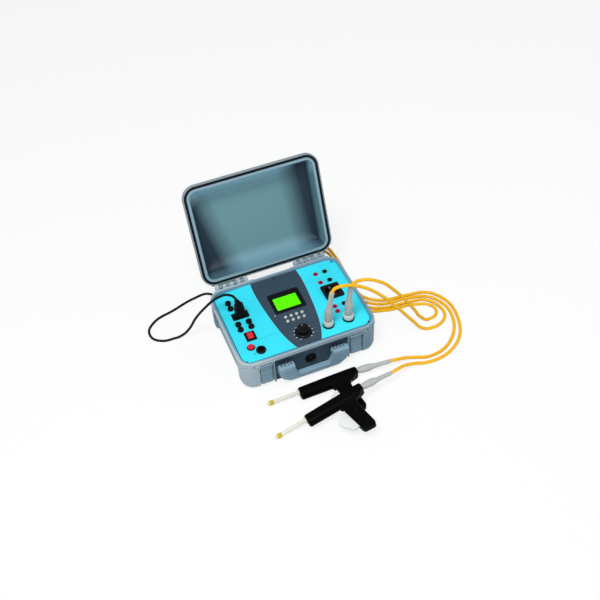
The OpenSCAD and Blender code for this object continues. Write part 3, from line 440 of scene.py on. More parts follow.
def make_finishes(settings):
    """Every material of the tester, by name."""
    moulded("shell_plastic", settings.shell, 0.5, 0.45, 0.05, 0.03, 0.35)
    moulded("handle_plastic", scaled(settings.shell, 1.12), 0.5, 0.45, 0.05, 0.03, 0.6)
    case_shell(settings)
    lid_shell(settings)
    dull = {"Specular_IOR_Level": 0.1}
    moulded("black_plastic", settings.black, 0.42, 0.4, 0.04, 0.1, 0.12, **dull)
    moulded("knob_plastic", scaled(settings.black, 0.8), 0.3, 0.35, 0.03, 0.1, **dull)
    moulded("probe_plastic", scaled(settings.black, 0.25), 0.34, 0.5, 0.02, 0.1, Specular_IOR_Level=0.03)
    moulded("seal_rubber", tint(8, 14, 18), 0.6, 0.6, 0.06, **dull)
    moulded("boot_rubber", settings.boot, 0.55, 0.5, 0.05, 0.05)
    moulded("pale_plastic", settings.pale, 0.4, 0.4, 0.03, 0.04)
    moulded("key_plastic", scaled(settings.pale, 0.86), 0.42, 0.35, 0.04, 0.04)
    moulded("red_plastic", settings.red_jack, 0.34, 0.4, 0.02, 0.06)
    moulded("switch_body", tint(110, 112, 115), 0.5)
    moulded("white_ink", tint(226, 232, 234), 0.5, 0.3, 0.01, 0.02)
    moulded("grey_ink", tint(120, 136, 150), 0.5, 0.3, 0.01, 0.02)
    moulded("dark_ink", tint(36, 92, 122), 0.5, 0.3, 0.01, 0.05)
    moulded("ring_yellow", tint(196, 176, 12), 0.35, 0.4, 0.02, 0.06)
    moulded("trigger_plastic", tint(238, 243, 238),
        0.3, 0.5, 0.02, 0.04, Transmission_Weight=0.15, IOR=1.45)
    moulded("rod_plastic", tint(222, 222, 208), 0.3, 0.5, 0.02, 0.03)
    brushed("steel", tint(170, 172, 176))
    brushed("screw_black", tint(30, 31, 33), 0.45)
    brushed("dark_contact", tint(44, 36, 26), 0.5)
    brushed("core_steel", tint(112, 104, 96), 0.5, 3)
    glowing("red_lens", settings.red, 0.12)
    moulded("dim_sign", tint(232, 120, 124), 0.4, 0.3, 0.01, 0.02)
    glowing("lamp_white", tint(214, 218, 214), 0.1)
    sheathed("yellow_sheath", settings.lead, 0.38)
    sheathed("black_sheath", tint(12, 14, 18), 0.42, **dull)
    printed_panel(settings)
    lit_display(settings)
    board = Paint("board_resist", Coat_Weight=0.3)
    x, y = board.axes()[:2]
    tracks = ((x * 1.7 + board.noise(9, 2) * 14).waved() > 0.2) * ((y * 1.3).waved() > -0.3)
    board.set(Base_Color=board.mixed(tracks, tint(20, 84, 50), tint(34, 112, 66)),
        Roughness=board.noise(3) * 0.2 + 0.3)
    board.bumped(tracks, 0.05, 0.4)


# Mesh helpers; they draw in millimetres

def turned(degrees, axis="Z"):
    return Matrix.Rotation(math.radians(degrees), 4, axis)


def meshed(name, mesh):
    """Mesh data out of a bmesh, which is used up."""
    data = bpy.data.meshes.new(name)
    mesh.to_mesh(data)
    mesh.free()
    return data


def added(name, data):
    """A new object of the scene."""
    piece = bpy.data.objects.new(name, data)
    bpy.context.scene.collection.objects.link(piece)
    return piece


def grown(form, mesh, make):
    """Runs make on the mesh and returns the points that it added, turned and moved by form."""
    before = set(mesh.verts)
    make(mesh)
    made = [v for v in mesh.verts if v not in before]
    if form is not None:
        bmesh.ops.transform(mesh, matrix=form, verts=made)
    return made


def spun(mesh, profile, form=None, steps=48):
    """A turned shape: profile is pairs of radius and height along the form's Z axis."""
    def make(mesh):
        points = [mesh.verts.new((r, 0, z)) for r, z in profile]
        lines = [mesh.edges.new(pair) for pair in zip(points, points[1:])]
        bmesh.ops.spin(mesh, geom=points + lines, cent=(0, 0, 0), axis=(0, 0, 1), angle=math.tau,
            steps=steps, use_merge=True)
    return grown(form, mesh, make)


def soften(mesh, edges, width, segments=2):
    bmesh.ops.bevel(mesh, geom=edges, offset=width, offset_type="OFFSET", segments=segments, profile=0.5,
        affect="EDGES", clamp_overlap=True, material=-1)


def plate(mesh, at, size, corner, z0, z1, edge=0.5):
    """A block with round upright corners and softened top edges."""
    made = bmesh.ops.create_cube(mesh, size=1)["verts"]
    bmesh.ops.scale(mesh, vec=(size[0], size[1], z1 - z0), verts=made)
    bmesh.ops.translate(mesh, vec=(at[0], at[1], (z0 + z1) / 2), verts=made)
    lines = {e for v in made for e in v.link_edges}
    before = set(mesh.faces)
    soften(mesh, [e for e in lines if abs(e.verts[0].co.z - e.verts[1].co.z) > 1e-4], corner, 5)
    lines = {e for f in mesh.faces if f not in before for e in f.edges} | {e for e in lines if e.is_valid}
    if edge:
        soften(mesh, [e for e in lines if all(abs(v.co.z - z1) < 1e-4 for v in e.verts)], edge, 2)


def bar(mesh, low, high, edge=0.3, form=None):
    """A box with all its edges softened."""
    def make(mesh):
        made = bmesh.ops.create_cube(mesh, size=1)["verts"]
        bmesh.ops.scale(mesh, vec=[b - a for a, b in zip(low, high)], verts=made)
        bmesh.ops.translate(mesh, vec=[(a + b) / 2 for a, b in zip(low, high)], verts=made)
        if edge:
            soften(mesh, list({e for v in made for e in v.link_edges}), edge)
    return grown(form, mesh, make)


def hoop(mesh, inset, z, least=6.0, corner=CORNER, size=CASE, steps=64):
    """The outline of a rounded rectangle, set in from the case's rim, as a loop of edges."""
    radius = max(corner - inset, least)
    made = bmesh.ops.create_circle(mesh, segments=steps, radius=radius,
        matrix=Matrix.Rotation(math.pi / steps, 4, "Z"))["verts"]
    for v in made:
        v.co.x += math.copysign(size[0] / 2 - inset - radius, v.co.x)
        v.co.y += math.copysign(size[1] / 2 - inset - radius, v.co.y)
        v.co.z = z
    return made


def hoops(base, levels, ring=False, **how):
    """Makes a shell through several outlines, given as pairs of inset and height above base. The last one
    is joined to the first for a ring, or else both are closed."""
    def make(mesh):
        rings = [hoop(mesh, inset, base + z, **how) for inset, z in levels]
        for first, second in zip(rings, rings[1:] + rings[:ring]):
            edges = {e for loop in (first, second) for v in loop for e in v.link_edges
                if e.other_vert(v) in loop}
            bmesh.ops.bridge_loops(mesh, edges=list(edges))
        if not ring:
            mesh.faces.new(rings[0])
            mesh.faces.new(rings[-1])
    return make


def settle(mesh, name, body, finish, stands_for=(), smooth=40, tidy=True):
    """Turns a mesh drawn in millimetres into a piece that rides on a body."""
    if tidy:
        bmesh.ops.remove_doubles(mesh, verts=mesh.verts, dist=0.002)
        bmesh.ops.recalc_face_normals(mesh, faces=mesh.faces)
        bmesh.ops.scale(mesh, vec=(MM, MM, MM), verts=mesh.verts)
    data = meshed(name, mesh)
    data.polygons.foreach_set("use_smooth", [True] * len(data.polygons))
    data.set_sharp_from_angle(angle=math.radians(smooth))
    piece = added(name, data)
    for one in [finish] if isinstance(finish, str) else finish:
        data.materials.append(FINISHES[one])
    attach(piece, body)
    if stands_for:
        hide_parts(*stands_for)
    return piece


def coloured(points, index):
    """Gives the faces at the points another of the piece's finishes than its first."""
    for f in {f for v in points for f in v.link_faces}:
        f.material_index = index


def rounded_copy(node, finish, width=0.5, angle=30, segments=2):
    """A copy of a solid with its edges rounded, which stands for the solid."""
    mesh = bmesh.new()
    mesh.from_mesh(NODES[node].data)
    bmesh.ops.remove_doubles(mesh, verts=mesh.verts, dist=2e-6)
    bmesh.ops.dissolve_limit(mesh, angle_limit=math.radians(0.6), verts=mesh.verts, edges=mesh.edges)
    sharp = [e for e in mesh.edges if len(e.link_faces) == 2 and
        e.calc_face_angle(0) > math.radians(angle)]
    made = bmesh.ops.bevel(mesh, geom=sharp, offset=width * MM, offset_type="OFFSET", segments=segments,
        profile=0.5, affect="EDGES", clamp_overlap=False, material=-1)
    mark = mesh.verts.layers.float.new("edge")
    for f in made["faces"]:
        for v in f.verts:
            v[mark] = 1.0
    piece = settle(mesh, node + "_moulding", NODES[node]["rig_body"], finish, [node], 45, False)
    piece.modifiers.new("even", "WEIGHTED_NORMAL").keep_sharp = True


def swing():
    """The turn that opens the lid, from where it is drawn closed."""
    axis = Vector((0, *HINGE))
    return Matrix.Translation(axis) @ turned(-OPENING, "X") @ Matrix.Translation(-axis)


def probe_form(index):
    """The place of a probe, whose barrel points along its own -X."""
    at, turn, rise, roll = PROBES[index]
    return Matrix.Translation(at) @ turned(turn) @ turned(-rise, "Y") @ turned(roll, "X")


class Step(bpy.types.Operator):
    """Base of the operators that make the pieces."""
    bl_options = {"REGISTER", "UNDO"}

    def execute(self, context):
        scene = context.scene
        self.make(scene.tester_colours, scene.tester_sizes, scene.tester_stage)
        return {"FINISHED"}


class TESTER_OT_stage(Step):
    """Camera at the photograph's angle, pale floor and soft light"""
    bl_idname = "tester.stage"
    bl_label = "Stage"

    def make(self, colours, sizes, stage):
        yaw, pitch, roll = (math.radians(a) for a in CAMERA_ANGLES)
        level = math.cos(pitch)
        back = Vector((level * math.sin(yaw), -level * math.cos(yaw), math.sin(pitch)))
        right = Vector((math.cos(yaw), math.sin(yaw), 0))
        up = back.cross(right)
        side = math.cos(roll) * right + math.sin(roll) * up
        top = -math.sin(roll) * right + math.cos(roll) * up
        lens = bpy.data.cameras.new("camera")
        lens.lens, lens.sensor_width = stage.lens, 36
        lens.shift_x, lens.shift_y = CAMERA_SHIFT
        lens.clip_start, lens.clip_end = 0.1, 50
        camera = added("camera", lens)
        turn = Matrix((side, top, back)).transposed().to_4x4()
        camera.matrix_world = Matrix.Translation(Vector((0, 0, 0.1)) + back * CAMERA_AWAY) @ turn
        bpy.context.scene.camera = camera
        bpy.context.scene.view_settings.view_transform = "Standard"
        self.lamp("key", (-0.9, -1.1, 3.3), (0, 0.05, 0.1), 1.5, stage.key, (1, 0.99, 0.97))
        self.lamp("fill", (2.4, -0.9, 1.7), (0, 0, 0.1), 1.6, stage.fill, (0.95, 0.98, 1))
        self.floor()
        self.sky(stage.sky)

    def lamp(self, name, at, aim, size, power, tone):
        data = bpy.data.lights.new(name, "AREA")
        data.shape, data.size, data.energy, data.color = "DISK", size, power, tone
        lamp = added(name, data)
        lamp.location = at
        lamp.rotation_mode = "QUATERNION"
        lamp.rotation_quaternion = (Vector(aim) - Vector(at)).to_track_quat("-Z", "Y")

    def floor(self):
        """A pale floor that the camera sees as white, apart from the shadows on it."""
        mesh = bmesh.new()
        bmesh.ops.create_grid(mesh, x_segments=1, y_segments=1, size=14,
            matrix=Matrix.Translation((0, 0, -0.0002)))
        floor = added("floor", meshed("floor", mesh))
        paint = Paint("floor_white", Base_Color=(0.9, 0.9, 0.9), Roughness=0.85)
        seen = paint.node("ShaderNodeLightPath", {}, {}, "Is Camera Ray")
        glow = paint.node("ShaderNodeEmission", {}, {"Color": (1, 1, 1), "Strength": 1.0})
        end = next(n for n in paint.nodes if n.type == "OUTPUT_MATERIAL")
        base = Wire(paint, paint.shader.outputs[0])
        both = paint.node("ShaderNodeMixShader", {}, {0: seen * 0.8, 1: base, 2: glow})
        paint.links.new(both.socket, end.inputs["Surface"])
        floor.data.materials.append(paint.material)

    def sky(self, strength):
        """Soft light from all round; the camera, reflections and clear pieces see plain white."""
        world = bpy.data.worlds.new("studio")
        world.use_nodes = True
        bpy.context.scene.world = world
        tree = world.node_tree
        path = tree.nodes.new("ShaderNodeLightPath")
        clear, soft = tree.nodes.new("ShaderNodeBackground"), tree.nodes["Background"]
        clear.inputs["Color"].default_value = (1, 1, 1, 1)
        soft.inputs["Color"].default_value = (0.93, 0.96, 1, 1)
        soft.inputs["Strength"].default_value = strength
        last = path.outputs["Is Camera Ray"]
        for ray in ("Is Glossy Ray", "Is Transmission Ray"):
            most = tree.nodes.new("ShaderNodeMath")
            most.operation = "MAXIMUM"
            tree.links.new(last, most.inputs[0])
            tree.links.new(path.outputs[ray], most.inputs[1])
            last = most.outputs[0]
        mixer = tree.nodes.new("ShaderNodeMixShader")
        for i, socket in enumerate((last, soft.outputs[0], clear.outputs[0])):
            tree.links.new(socket, mixer.inputs[i])
        tree.links.new(mixer.outputs[0], tree.nodes["World Output"].inputs[0])


# Solids that stay in view as they are, and their finishes
BARE = {"lid_hinge_pins": "screw_black", "handle_pins": "screw_black", "key_mat": "seal_rubber",
    "rotary_switch": "switch_body", "main_board": "board_resist", "hv_transformer": "core_steel",
    "power_transformer": "core_steel", "front_panel": "panel_print"}


class TESTER_OT_finishes(Step):
    """Materials of every piece"""
    bl_idname = "tester.finishes"
    bl_label = "Finishes"

    def make(self, colours, sizes, stage):
        make_finishes(colours)
        for node, finish in BARE.items():
            data = NODES[node].data
            data.materials.clear()
            data.materials.append(FINISHES[finish])


def lead(name, route, width, finish, slot, stands_for):
    """A smooth round lead through the points of its route."""
    curve = bpy.data.curves.new(name, "CURVE")
    curve.dimensions = "3D"
    curve.bevel_depth, curve.bevel_resolution, curve.use_fill_caps = width / 2, 5, True
    curve.resolution_u = 8
    line = curve.splines.new("BEZIER")
    line.bezier_points.add(len(route) - 1)
    lowest = min(at[2] for at in route) * MM
    route = [Vector(at) * MM for at in route]
    for i, (point, at) in enumerate(zip(line.bezier_points, route)):
        before, after = route[max(i - 1, 0)], route[min(i + 1, len(route) - 1)]
        near, far = (before - at).length, (after - at).length
        way = (at - before) / max(near, MM) * far + (after - at) / max(far, MM) * near
        if at.z - lowest < 0.1 * MM:
            way.z, at.z = 0, width / 2
        way.normalize()
        point.co, point.handle_left, point.handle_right = at, at - way * near / 3, at + way * far / 3
    piece = added(name, curve)
    curve.materials.append(FINISHES[finish])
    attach(piece, "base")
    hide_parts(*stands_for)
    return piece


def laid(route, floor):
    """The route with the height of the points that lie on the floor filled in."""
    return [at if len(at) == 3 else (*at, floor) for at in route]


def coil_route():
    """The mains lead's turns: in on the floor, out on top of them, and the way to the plug."""
    points = []
    for i in range(61):
        turn = i * 4.26 / 60
        angle = math.radians(178 + 360 * turn)
        if turn < 2.2:
            radius = COIL_OUT - COIL_PITCH * turn
        else:
            radius = COIL_IN + COIL_PITCH * (turn - 2.3) * (turn > 2.3)
        height = MAINS_FLOOR + COIL_PITCH * min(max((turn - 2.0) / 0.5, 0), 1)
        points.append((COIL[0] + radius * math.cos(angle), COIL[1] + radius * math.sin(angle), height))
    return points + [(-86, 187.5, 10.9), (-64, 191, 14.5), (-45, 196, 18)]


class TESTER_OT_leads(Step):
    """The two high voltage leads and the mains lead with its coil and plug"""
    bl_idname = "tester.leads"
    bl_label = "Leads"

    def make(self, colours, sizes, stage):
        for i, route in enumerate((HIGH_ROUTE_1, HIGH_ROUTE_2)):
            route = laid(route, HIGH_FLOOR)
            piece = lead("high_lead_%d" % (i + 1), route, sizes.high_lead, "yellow_sheath",
                "yellow_cable", ["hv_cord_%d" % (i + 1)])
        route = laid(MAINS_ROUTE, MAINS_FLOOR) + coil_route()
        piece = lead("mains_lead", route, sizes.mains_lead, "black_sheath", "black_cable",
            ["mains_cord", "mains_cord_coil"])
        self.end_plug()

    def end_plug(self):
        form = Matrix.Translation(END_PLUG) @ turned(4) @ turned(90, "Y")
        mesh = bmesh.new()
        relief = [(0, 0), (4.6, 0), (5.2, 0.6)]
        for i in range(5):
            r, z = 0.5 * i, 2.6 * i
            relief += [(5.4 + r, 1 + z), (4.6 + r, 2 + z), (5.6 + r, 3 + z)]
        spun(mesh, relief + [(8.4, 14.4), (12, 18), (15.6, 21.6), (17, 24), (17.6, 32), (18, 38),
            (18, 45), (17.2, 46), (0, 46)], form)
        pins = []
        for y in (-9.5, 9.5):
            pins += spun(mesh, [(0, 45.5), (2.4, 45.5), (2.4, 63.2), (1.4, 65), (0, 65)],
                form @ Matrix.Translation((0, y, 0)), 20)
        coloured(pins, 1)
        for a in range(0, 360, 15):
            bar(mesh, (17.2, -0.6, 27), (18.1, 0.6, 36), 0.2, form @ turned(a))
        return settle(mesh, "mains_end_plug", "base", ["black_plastic", "steel"],
            ["mains_lead_plug"])


class TESTER_OT_case(Step):
    """Base of the case, handle, latches and valve"""
    bl_idname = "tester.case"
    bl_label = "Case"

    def make(self, colours, sizes, stage):
        rounded_copy("case_base", "case_plastic", sizes.edge)
        rounded_copy("carry_handle", "handle_plastic", sizes.edge)
        for side in ("left", "right"):
            rounded_copy("latch_" + side, "shell_plastic", 0.35)
        mesh = bmesh.new()
        face = Matrix.Translation((0, -141, 43)) @ turned(90, "X")
        spun(mesh, [(0, -4), (8.9, -4), (8.9, 0), (16, 0), (16.5, 0.5), (16.5, 2.5), (15.8, 3.2),
            (14.2, 4.6), (11.4, 5), (10.6, 4.6), (10, 3.4), (6.4, 3.4), (5.6, 4), (5, 5.6), (4, 6),
            (0, 6)], face)
        for a in range(0, 360, 30):
            bar(mesh, (10.8, -0.7, 3.2), (15.4, 0.7, 5.4), 0.25, face @ turned(a))
        settle(mesh, "valve_cap", "base", "black_plastic", ["pressure_valve"])


class TESTER_OT_lid(Step):
    """Lid with its coved inside, its half of the hinges and its rubber seal"""
    bl_idname = "tester.lid"
    bl_label = "Lid"

    def make(self, colours, sizes, stage):
        mesh = bmesh.new()
        mark = mesh.verts.layers.float.new("inside")
        inner = [(19.2 + 44 * (1 - math.cos(a)) ** 1.25, 3 + 56 * math.sin(a)) for a in
            [math.radians(90) * i / 16 for i in range(17)]]
        levels = inner[::-1]
        levels += [(19, 0.8), (18.2, 0), (10.7, 0), (10.1, 0.5), (10, 3), (3.1, 3),
            (3, 0.4), (2.5, 0), (-0.3, 0), (-1, 0.7), (-1, 3.6), (-0.6, 4),
            (0.4, 4.4), (0.4, 7.2), (-0.6, 7.6), (-1, 8), (-1, 11), (0, 12),
            (11.5, 12), (12.8, 12.8)]
        outer = [(13.2 + 40 * (1 - math.cos(a)) ** 1.2, 14 + 50 * math.sin(a)) for a in
            [math.radians(90) * i / 12 for i in range(13)]]
        made = grown(swing(), mesh, hoops(RIM, levels + outer, least=9))
        for v in made[:64 * len(inner)]:
            v[mark] = 1.0
        knuckle = [(0, 0), (5.5, 0), (6, 0.5), (6, 9.9), (5.5, 10.4), (0, 10.4)]
        for s in (-1, 1):
            for x in LID_KNUCKLES:
                low, high = s * x - 5.2, s * x + 5.2
                spun(mesh, knuckle, swing() @ Matrix.Translation((low, *HINGE)) @ turned(90, "Y"), 32)
                bar(mesh, (low, 154, 111.6), (high, 166, 116), 0.4, swing())
            bar(mesh, (min(s * 58, s * 182), 154, 112), (max(s * 58, s * 182), 159, 122), 0.6, swing())
        settle(mesh, "lid_moulding", "lid", "lid_plastic", ["case_lid"], 35)
        mesh = bmesh.new()
        grown(swing(), mesh, hoops(RIM, [(3.2, 2.9), (3.2, 0), (3.6, -0.45), (4.5, -0.6),
            (6.5, -0.7), (8.5, -0.6), (9.4, -0.45), (9.9, 0), (9.9, 2.9)], True))
        settle(mesh, "lid_seal", "lid", "seal_rubber", ["lid_gasket"])


def ribs(mesh, at, radius, count, size, z0, z1, edge=0.15):
    """Small ribs round an upright cap; size is how far they stand out and how wide they are."""
    for i in range(count):
        turn = Matrix.Translation((at[0], at[1], 0)) @ Matrix.Rotation(math.tau * i / count, 4, "Z")
        bar(mesh, (radius - 0.6, -size[1] / 2, z0), (radius + size[0], size[1] / 2, z1), edge, turn)


def at_panel(at, up=0.0):
    return Matrix.Translation((at[0], at[1], PANEL + up))


class TESTER_OT_panel(Step):
    """Print, screws, display, keys, knob and the small lamp of the panel"""
    bl_idname = "tester.panel"
    bl_label = "Panel"

    def make(self, colours, sizes, stage):
        self.print_marks()
        self.screws()
        self.display()
        self.keys()
        self.knob()
        mesh = bmesh.new()
        spun(mesh, [(0, -7), (2.8, -7), (2.8, -3), (1.9, -3), (1.9, 0), (1.6, 0.6), (0.8, 0.8), (0, 0.8)],
            at_panel(STATUS), 24)
        settle(mesh, "status_lamp", "base", "lamp_white", ["status_led"])

    def print_marks(self):
        """Lines, dots and plain symbols, a little proud of the plate."""
        mesh = bmesh.new()
        white, grey = [], []

        def line(x0, y0, x1, y1, width=0.5, ink=None):
            """A line in dark ink, which is also kept in the list of another ink."""
            long = math.hypot(x1 - x0, y1 - y0)
            turn = (Matrix.Translation(((x0 + x1) / 2, (y0 + y1) / 2, PANEL + 0.04))
                @ Matrix.Rotation(math.atan2(y1 - y0, x1 - x0), 4, "Z"))
            made = bar(mesh, (-long / 2, -width / 2, 0), (long / 2, width / 2, 0.04), 0, turn)
            if ink is not None:
                ink.append(made)

        line(-187, -67, -62, -67)
        for x0, x1, y in ((62, 187, -67), (76, 187, 84), (-187, -176, 58), (-106, -76, 80)):
            line(x0, y, x1, y, 0.4)
        for x, y in FUSES:
            line(x - 5, y + 12, x + 5, y + 12, 0.35)
            for x0, y0, x1, y1 in ((-3, 10.8, 3, 10.8), (-3, 13.2, 3, 13.2), (-3, 10.8, -3, 13.2),
                    (3, 10.8, 3, 13.2)):
                line(x + x0, y + y0, x + x1, y + y1, 0.35)
        for y in JACK_ROWS:
            line(RED_JACKS + 8.5, y, BLACK_JACKS - 8.5, y, 0.35)
            line(RED_JACKS - 14, y, RED_JACKS - 9.5, y, 0.4)
            line(BLACK_JACKS + 9.5, y, BLACK_JACKS + 14, y, 0.4)
            line(BLACK_JACKS + 11.8, y - 2.2, BLACK_JACKS + 11.8, y + 2.2, 0.4)
        x, y = SOCKET[0] + 37, SOCKET[1] + 4
        for i, w in enumerate((7, 4.6, 2.2)):
            line(x - w / 2, y - 2 * i, x + w / 2, y - 2 * i)
        line(x, y, x, y + 5)
        x, y = LAMP_SIGN
        for a in (45, 135):
            c, s = 2.6 * math.cos(math.radians(a)), 2.6 * math.sin(math.radians(a))
            line(x - c, y - s, x + c, y + s, 0.6)
        ring = [(x + 3.4 * math.cos(math.tau * i / 16), y + 3.4 * math.sin(math.tau * i / 16))
            for i in range(17)]
        for first, second in zip(ring, ring[1:]):
            line(*first, *second, 0.6)
        x, y = KNOB
        for i in range(11):
            a = math.radians(234 - 28.8 * i)
            c, s = math.cos(a), math.sin(a)
            white.append(grown(Matrix.Translation((x + 27 * c, y + 27 * s, PANEL + 0.04)), mesh,
                lambda m: bmesh.ops.create_cone(m, cap_ends=True, segments=20, radius1=1.6, radius2=1.6,
                    depth=0.05)))
            if abs(c) > 0.25:
                reach = math.copysign(9 + 3 * abs(c), c)
                line(x + 30 * c, y + 29 * s, x + 30 * c + reach, y + 29 * s, 0.4, grey)
        for index, marks in ((1, white), (2, grey)):
            for points in marks:
                coloured(points, index)
        settle(mesh, "panel_marks", "base", ["dark_ink", "white_ink", "grey_ink"], (), 30)

    def screws(self):
        mesh = bmesh.new()
        for p in SCREWS:
            spun(mesh, [(0, -13), (1.5, -13), (1.5, 0), (3, 0), (3, 0.5), (2.6, 1), (1.7, 1.25),
                (1.2, 0.5), (0, 0.45)], at_panel(p), 28)
            for a in (0, 90):
                turn = at_panel(p, 0.48) @ turned(a + 20)
                coloured(bar(mesh, (-1.7, -0.3, 0), (1.7, 0.3, 0.82), 0, turn), 1)
        settle(mesh, "panel_screw_heads", "base", ["screw_black", "black_plastic"],
            ["panel_screws"])

    def display(self):
        rounded_copy("lcd_bezel", "black_plastic", 0.9, segments=3)
        mesh = bmesh.new()
        plate(mesh, LCD, (75, 52), 1.5, UNDER_PANEL, PANEL + 0.6, 0.3)
        plate(mesh, LCD, (86, 64), 2, UNDER_PANEL - 1.6, UNDER_PANEL, 0)
        settle(mesh, "display_window", "base", "display_glass", ["lcd_module"])
        mesh = bmesh.new()
        make = hoops(PANEL, [(0, 0), (0, 1.5), (0.5, 2), (1.6, 1.1), (1.8, 0.5)],
            True, least=0.6, corner=2.2, size=(75.6, 52.6), steps=32)
        grown(Matrix.Translation((*LCD, 0)), mesh, make)
        settle(mesh, "display_lip", "base", "black_plastic")

    def keys(self):
        for i, at in enumerate(KEYS):
            mesh = bmesh.new()
            spun(mesh, [(0, -7.8), (4.5, -7.8), (4.5, -5.2), (5.5, -5.2), (5.5, -3.2), (4.5, -3.2),
                (4.5, 2.3), (4.3, 2.75), (3.9, 2.98), (3.4, 2.95), (2.4, 2.7), (1.2, 2.55), (0, 2.5)],
                at_panel(at), 40)
            coloured(self.sign(mesh, i, at), 1)
            settle(mesh, "key_cap_%d" % (i + 1), "key_%d" % (i + 1), ["key_plastic", "dark_ink"],
                ["key_%d" % (i + 1)])

    def sign(self, mesh, i, at):
        """A plain sign on a key: arrows on four, bars and a ring on the others."""
        top = at_panel(at, 2.62)
        if i < 4:
            turn = top @ Matrix.Rotation(math.tau * i / 4, 4, "Z")
            return grown(turn, mesh, lambda m: bmesh.ops.create_cone(m, cap_ends=True, segments=3,
                radius1=1.7, radius2=1.7, depth=0.16))
        if i == 4:
            return bar(mesh, (-1.7, -0.3, 0), (1.7, 0.3, 0.16), 0, top)
        if i == 5:
            made = bar(mesh, (-1.7, -0.3, 0), (1.7, 0.3, 0.16), 0, top)
            return made + bar(mesh, (-0.3, -1.7, 0), (0.3, 1.7, 0.18), 0, top)
        if i == 6:
            return spun(mesh, [(1.1, 0), (1.6, 0), (1.6, 0.2), (1.1, 0.2), (1.1, 0)], top, 24)
        return bar(mesh, (-1.2, -1.2, 0), (1.2, 1.2, 0.16), 0, top)

    def knob(self):
        mesh = bmesh.new()
        lift = at_panel(KNOB, 0.3)
        spun(mesh, [(0, 0), (23.6, 0), (24.4, 0.4), (24.6, 1), (24.6, 2.6), (24.2, 3.2), (22, 5),
            (19.6, 5.9), (18, 6.2), (0, 6.2)], lift, 72)
        def grip(mesh):
            made = bmesh.ops.create_circle(mesh, segments=96, radius=17.4, cap_ends=True)["verts"]
            for v in made:
                a = math.atan2(v.co.y, v.co.x)
                v.co *= 1 + 0.055 * (abs(math.cos(6 * a + math.pi / 2)) ** 0.7 - 0.6)
                v.co.z = 5.8
            face = made[0].link_faces[0]
            up = bmesh.ops.extrude_face_region(mesh, geom=[face])["geom"]
            top = [v for v in up if isinstance(v, bmesh.types.BMVert)]
            for v in top:
                v.co.x, v.co.y, v.co.z = v.co.x * 0.93, v.co.y * 0.93, 19.2
            cap = next(f for f in up if isinstance(f, bmesh.types.BMFace))
            for thick, deep in ((0.8, 0.7), (1.0, 0.1), (0.5, -0.5)):
                bmesh.ops.inset_region(mesh, faces=[cap], thickness=thick, depth=0)
                for v in cap.verts:
                    v.co.z += deep
        grown(lift, mesh, grip)
        mark = bar(mesh, (-0.5, 7, 19.1), (0.5, 13, 19.75), 0.1, lift)
        mark += bar(mesh, (-0.5, 19.4, 4.2), (0.5, 22.6, 5.6), 0.1, lift)
        coloured(mark, 1)
        settle(mesh, "range_knob_grip", "range_knob", ["knob_plastic", "white_ink"],
            ["range_knob"], 50)


